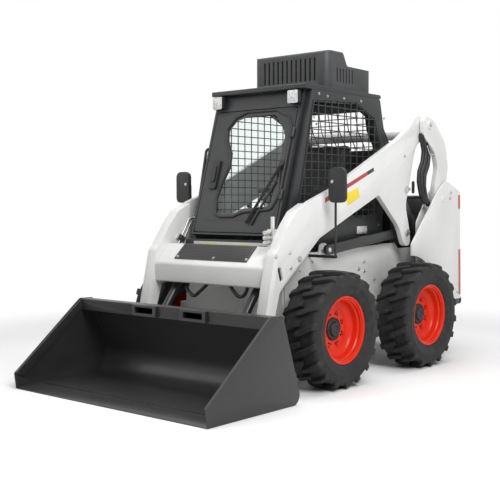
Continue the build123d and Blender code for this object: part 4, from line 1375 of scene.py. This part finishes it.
@dataclass
class ArmDress:
    """What the lift arms carry: stripes, blank labels, plugs, bolts, hoses, tubes and couplers."""

    face: float = 575.0
    link_face: float = 622.0
    hole_middle: tuple[float, float] = (923.0, 760.0)
    hole_turn: float = math.radians(-17.0)
    hose_ys: tuple = ((-46.0, 597.0), (-23.0, 606.0), (0.0, 597.0), (23.0, 606.0), (46.0, 597.0))
    hose_line: tuple = ((-796, 1722), (-812, 1660), (-838, 1590), (-822, 1510), (-775, 1435), (-768, 1355),
                        (-798, 1262), (-866, 1190))
    bolt_places: tuple = ((-632, 1314), (-628, 989), (826, 893), (816, 796), (968, 874), (-560, 1560),
                          (1030, 430))

    def panels(self) -> None:
        """Painted stripe, blank label and plug on each arm's outer face, with black sheets of painted shade in
        its slot and hole.
        """
        red, black, yellow, dark, caps = [], [], [], [], []
        for hand in SIDES.values():
            stripe = [(448, 1211), (448, 1245), (-55, 1432), (-66, 1408)]
            red.append(side_flat(self.face, hand, stripe, 0.0, 0.7, 0.15))
            stripe = [(-66, 1408), (-55, 1432), (-138, 1463), (-146, 1438)]
            black.append(side_flat(self.face, hand, stripe, 0.0, 0.7, 0.15))
            label = rounded([(204, 1276, 6), (58, 1319, 6), (32, 1249, 6), (185, 1190, 6)], 3)
            yellow.append(side_flat(self.face, hand, label, 0.0, 0.8, 0.15))
            # painted shade: the dark slot on the face and the sheet sunk in the hole are black for the shade
            # inside them
            slit = box_outline((-705, 1280), (-662, 1375), 16)
            dark.append(side_flat(self.face, hand, slit, 0.0, 0.9, 0.2))
            caps.append(side_flat(self.face, hand, ring_outline(728, 852, 19), 0.0, 7.0, 2.5))
            turn = Matrix.Rotation(self.hole_turn, 2)
            hole = [tuple(Vector(self.hole_middle) + turn @ Vector(p))
                    for p in box_outline((-16.6, -47.6), (16.6, 47.6), 16)]
            dark.append(side_flat(self.face, hand, hole, -13.8, -12.8, 0.2))
        dress("arm_stripe_red", red, "stripe_red", "lift_arm", slot=Slot.RIM_ORANGE)
        dress("arm_stripe_black", black, Slot.PAINT_BLACK, "lift_arm")
        dress("arm_label_blank", yellow, "label_yellow", "lift_arm", slot=Slot.LAMP)
        dress("arm_slot_shade", dark, "painted_shade_black", "lift_arm", slot=Slot.PLASTIC_BLACK)
        dress("arm_plugs", caps, Slot.STEEL, "lift_arm")

    def fasteners(self) -> None:
        """Bolts of the arms and the pins' keeper bolts."""
        bolts("arm_bolts", side_spots(self.bolt_places, self.face), "lift_arm")
        caps = [side_flat(self.face, hand, ring_outline(x, z, 27), 0.0, 6.0, 2.0)
                for hand in SIDES.values() for x, z in ((-590, 1309), (-595, 985))]
        dress("arm_pin_caps", caps, Slot.STEEL, "lift_arm")
        keepers = side_spots([(-843, 1805)], self.link_face + 10.0)
        bolts("link_pin_bolts", keepers, "rear_links", 0.011, 0.008, 0.018)

    def hydraulics(self) -> None:
        """Couplers, steel tubes and hose of the arms, and the hose bundle beside the rear link."""
        tubes, hose, block = split_islands(frame["nodes"]["arm_hydraulics"].data)
        dress("arm_steel_tubes", [soften(tubes, 0.0008)], Slot.STEEL, "lift_arm", "arm_hydraulics")
        dress("arm_hose", [hose], "hose_rubber", "lift_arm", "arm_hydraulics", slot=Slot.PLASTIC_BLACK)
        collars = []
        for z in (958.0, 990.0, 1022.0):
            for x, r in ((906.0, 16.5), (930.0, 15.6), (950.0, 15.0)):
                collars.append(flat(nose_sheet(x), ring_outline(473, z, r, 24), 0.0, 7.0, 1.2))
        dress("coupler_block", [soften(block, 0.0015)] + collars, Slot.STEEL, "lift_arm", "arm_hydraulics")
        bundle = []
        for hand in SIDES.values():
            for offset, y in self.hose_ys:
                bundle.append([at(x + offset, hand * y, z + offset * 0.35) for x, z in self.hose_line])
        tube("link_hoses", bundle, 0.013, "hose_rubber", "rear_links", bend=0.06, facets=14,
             slot=Slot.PLASTIC_BLACK)
        pipes = [[at(-812, hand * 617.0, 1648), at(-856, hand * 617.0, 1581), at(-930, hand * 617.0, 1583)]
                 for hand in SIDES.values()]
        tube("link_pipe", pipes, 0.005, Slot.STEEL, "rear_links")

    def tread(self) -> None:
        """Raised bars on the step plate of the cross member."""
        start, end = Vector((998.0, 0.0, 800.0)), Vector((856.0, 0.0, 930.0))
        up = (end - start).normalized()
        sheet = Sheet(tuple(start), (0.0, 1.0, 0.0), tuple(up))
        bar = flat(sheet, box_outline((-318, 56), (-300, 61), 2), 6.0, 7.6, 0.5)
        row = repeat("tread_row", bar, 24, (0.0, 26.5, 0.0))
        step = up * 14.0
        dress("step_tread", [repeat("tread_rows", row, 9, tuple(step))], Slot.PAINT_BLACK, "lift_arm")
        spots = [(sheet.point(y, 62.0, 6.0), sheet.normal()) for y in (-307.0, 30.0, 317.0)]
        bolts("step_bolts", spots, "lift_arm", 0.007, 0.005, 0.011)

    def build(self) -> None:
        """Makes the arms' pieces."""
        self.panels()
        self.fasteners()
        self.hydraulics()
        self.tread()


@dataclass
class BodyDress:
    """What the frame, towers, tailgate, mirrors and bucket carry."""

    panel_face: float = 453.0
    tower_face: float = 644.0
    panel_bolts: tuple = ((-204, 782), (-204, 712), (-133, 731), (-338, 645), (420, 812), (560, 760))
    tower_bolts: tuple = ((-1146, 1289), (-1131, 1243), (-1258, 495))
    weld_line: tuple = ((1750, 12), (1250, 12), (1140, 14), (1104, 40), (1110, 84), (1180, 300), (1246, 470))

    def fasteners(self) -> None:
        """Bolts of the side panels and the towers."""
        spots = side_spots(self.panel_bolts, self.panel_face) + side_spots(self.tower_bolts, self.tower_face)
        bolts("frame_bolts", spots, "machine")

    def labels(self) -> None:
        """Blank labels, plates and a latch on the front panel and the sides, and the towers' red strips."""
        sheet = nose_sheet(760.2)
        plates = [flat(sheet, box_outline((-273, 887), (-120, 931), 4), 0.0, 0.8, 0.15),
                  flat(sheet, box_outline((65, 869), (172, 931), 4), 0.0, 0.8, 0.15)]
        dress("front_labels_blank", plates, "label_yellow", "machine", slot=Slot.LAMP)
        latch = [flat(sheet, box_outline((258, 890), (332, 928), 6), 0.0, 6.0, 1.5),
                 flat(sheet, box_outline((276, 900), (314, 918), 5), 6.0, 12.0, 1.5)]
        dress("front_latch", latch, Slot.PLASTIC_BLACK, "machine")
        silver = [side_flat(445.4, hand, box_outline((-253, 985), (-123, 1041), 4), -15.0, 0.8, 0.2)
                  for hand in SIDES.values()]
        strips = []
        for hand in SIDES.values():
            for low_z, high_z in ((470.0, 835.0), (1160.0, 1272.0)):
                edge = [-1315.0 + 24.0 * (z - 439.0) / 856.0 for z in (low_z, high_z)]
                outline = [(edge[0] + 1, low_z), (edge[1] + 1, high_z), (edge[1] + 27, high_z),
                           (edge[0] + 27, low_z)]
                strips.append(side_flat(self.tower_face, hand, outline, 0.0, 1.5, 0.4))
        dress("tower_reflectors", strips, "red_lens", "machine", slot=Slot.LAMP)
        dress("side_plates_blank", silver, "silver_plate", "machine", slot=Slot.STEEL)

    def mirrors(self) -> None:
        """Mirror heads, each with the glass on its back, its clamp and its bolt."""
        glass, clamps = [], []
        for hand in SIDES.values():
            low, high = sorted((-hand * 652.0, -hand * 762.0))
            glass.append(flat(tail_sheet(472.2), box_outline((low, 1226), (high, 1434), 32), 0.0, 1.2, 0.3))
            clamps.append(flat(nose_sheet(454.0),
                               box_outline((hand * 672.0 - 15, 1226), (hand * 672.0 + 15, 1274), 6), 0.0,
                               17.0, 3.0))
        dress("mirror_glass", glass, Slot.CHROME, "machine")
        dress("mirror_clamps", clamps, Slot.PLASTIC_BLACK, "machine")
        heads = []
        for hand in SIDES.values():
            low, high = sorted((hand * 640.0, hand * 774.0))
            heads.append(flat(nose_sheet(473.0), box_outline((low, 1213), (high, 1446), 42), 0.0, 31.5, 9.0))
        dress("mirror_heads", heads, Slot.PLASTIC_BLACK, "machine")
        spots = [(at(504.0, hand * 673.0, 1352), Vector((1, 0, 0))) for hand in SIDES.values()]
        bolts("mirror_bolts", spots, "machine", 0.0075, 0.004, 0.011)

    def tailgate(self) -> None:
        """Black sheet of painted shade behind the tailgate's grille, and its handle."""
        # painted shade: a black sheet behind the grille
        dark = flat(tail_sheet(-1383.0), box_outline((-424, 636), (424, 1150), 10), 0.0, 0.8, 0.2)
        dress("grille_shade", [dark], "painted_shade_black", "tailgate", slot=Slot.PLASTIC_BLACK)
        handle = [flat(tail_sheet(-1389.5), box_outline((-520, 820), (-470, 960), 12), 0.0, 9.0, 3.0),
                  flat(tail_sheet(-1389.5), box_outline((-508, 846), (-482, 934), 8), 9.0, 20.0, 3.0)]
        dress("tailgate_handle", handle, Slot.PLASTIC_BLACK, "tailgate")

    def bucket(self) -> None:
        """Wear strip across the bucket's floor, and weld beads along its sides."""
        strip = flat(level_sheet(10.2), box_outline((1690, -852), (1702, 852), 1), 0.0, 3.5, 1.0)
        dress("bucket_strip", [strip], Slot.BUCKET_GREY, "bucket")
        lines = []
        for hand in SIDES.values():
            y = hand * 852.5
            lines.append([at(x, y, z) for x, z in self.weld_line])
        tube("bucket_welds", lines, 0.0045, Slot.BUCKET_GREY, "bucket", bend=0.05, facets=8)

    def build(self) -> None:
        """Makes the body's pieces."""
        self.fasteners()
        self.labels()
        self.mirrors()
        self.tailgate()
        self.bucket()


class Stage:
    """Pale floor, soft studio light and the camera at the photograph's angle."""

    focal_pixels: float = 941.34
    frame_pixels: float = 500.0
    sensor: float = 36.0
    shadow_reach: float = 2.6
    white_from: float = 4.6
    ambient: float = 0.21
    floor_grey: float = 0.93
    floor_half: float = 60.0
    middle: Point = (0.0, 0.0, 0.9)
    picture_shift: tuple[float, float] = (-1.65, -3.76)
    camera_place: Point = (5555.2, 4295.9, 1223.4)
    camera_angles: Point = (-139.468, -2.730, -0.114)
    lamps: tuple = (("key_lamp", (3.0, 5.5, 5.5), 390.0, 3.5), ("top_lamp", (-0.5, 0.0, 7.0), 330.0, 6.0),
                    ("far_lamp", (4.5, -4.0, 3.5), 40.0, 3.0))

    def camera(self) -> None:
        """Camera from the photograph's measured place and direction."""
        data = bpy.data.cameras.new("camera")
        data.sensor_width = self.sensor
        data.lens = self.focal_pixels / self.frame_pixels * self.sensor
        data.shift_x, data.shift_y = (shift / self.frame_pixels for shift in self.picture_shift)
        data.clip_end = 200.0
        yaw, pitch, roll = (math.radians(a) for a in self.camera_angles)
        ahead = Vector((math.cos(pitch) * math.cos(yaw), math.cos(pitch) * math.sin(yaw), math.sin(pitch)))
        right = ahead.cross(Vector((0, 0, 1))).normalized()
        up = right.cross(ahead)
        right, up = (right * math.cos(roll) + up * math.sin(roll),
                     up * math.cos(roll) - right * math.sin(roll))
        camera = bpy.data.objects.new("camera", data)
        turn = Matrix((right, up, -ahead)).transposed().to_4x4()
        camera.matrix_world = Matrix.Translation(at(*self.camera_place)) @ turn
        bpy.context.scene.collection.objects.link(camera)
        bpy.context.scene.camera = camera

    def floor(self) -> None:
        """White floor that keeps the machine's shadow."""
        g = Graph("floor_white")
        path = g.add("ShaderNodeLightPath")
        seen = (path["Is Camera Ray"] + path["Is Glossy Ray"] + path["Is Transmission Ray"]).ramp(0.0, 1.0)
        split = g.add("ShaderNodeSeparateXYZ", None, {"Vector": g.place})
        away = (split["X"] * split["X"] + split["Y"] * split["Y"]).root().ramp(self.shadow_reach,
                                                                               self.white_from)
        diffuse = g.add("ShaderNodeBsdfDiffuse", None, {"Color": (*(self.floor_grey,) * 3, 1.0)})
        white = g.add("ShaderNodeEmission", None, {"Color": (1.0, 1.0, 1.0, 1.0), "Strength": 1.0})
        both = g.add("ShaderNodeMixShader", None, {0: away * seen, 1: diffuse["BSDF"], 2: white["Emission"]})
        g.add("ShaderNodeOutputMaterial", None, {"Surface": both["Shader"]})
        half = self.floor_half
        mesh = new_mesh([(-half, -half, 0), (half, -half, 0), (half, half, 0), (-half, half, 0)],
                        [[0, 1, 2, 3]])
        if mesh.polygons[0].normal.z < 0:
            mesh.flip_normals()
        obj = link("floor", mesh, g.material)

    def world(self) -> None:
        """Plain white surroundings, softer as a light than to the eye."""
        world = bpy.data.worlds.new("studio")
        world.use_nodes = True
        tree = world.node_tree
        tree.nodes.clear()
        path = tree.nodes.new("ShaderNodeLightPath")
        bright = path.outputs["Is Camera Ray"]
        for ray in ("Is Glossy Ray", "Is Transmission Ray"):
            larger = tree.nodes.new("ShaderNodeMath")
            larger.operation = "MAXIMUM"
            tree.links.new(bright, larger.inputs[0])
            tree.links.new(path.outputs[ray], larger.inputs[1])
            bright = larger.outputs[0]
        strength = tree.nodes.new("ShaderNodeMapRange")
        tree.links.new(bright, strength.inputs[0])
        strength.inputs[3].default_value = self.ambient
        strength.inputs[4].default_value = 1.0
        back = tree.nodes.new("ShaderNodeBackground")
        back.inputs["Color"].default_value = (1.0, 1.0, 1.0, 1.0)
        tree.links.new(strength.outputs[0], back.inputs["Strength"])
        out = tree.nodes.new("ShaderNodeOutputWorld")
        tree.links.new(back.outputs[0], out.inputs[0])
        bpy.context.scene.world = world

    def lamp(self, name: str, place: Point, power: float, size: float) -> None:
        """Square area lamp that points at the machine.

        Args:
            name: the lamp's name.
            place: where it stands, in metres.
            power: its power in watts.
            size: the length of its sides in metres.
        """
        data = bpy.data.lights.new(name, "AREA")
        data.energy = power
        data.size = size
        lamp = bpy.data.objects.new(name, data)
        lamp.location = place
        lamp.rotation_euler = (Vector(self.middle) - Vector(place)).to_track_quat("-Z", "Y").to_euler()
        bpy.context.scene.collection.objects.link(lamp)

    def build(self) -> None:
        """Makes the stage."""
        self.camera()
        self.floor()
        self.world()
        for name, place, power, size in self.lamps:
            self.lamp(name, place, power, size)
        bpy.context.scene.view_settings.view_transform = "Standard"


def main() -> None:
    """Dresses the loader and sets the stage."""
    logging.basicConfig(level=logging.INFO, format="%(message)s")
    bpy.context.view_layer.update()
    Stage().build()
    Sheetwork().build()
    for end in ("front", "rear"):
        for side in SIDES:
            Wheel(end, side).build()
    for dressing in (CabDress(), SeatDress(), ArmDress(), BodyDress()):
        dressing.build()


if __name__ == "__main__":
    main()
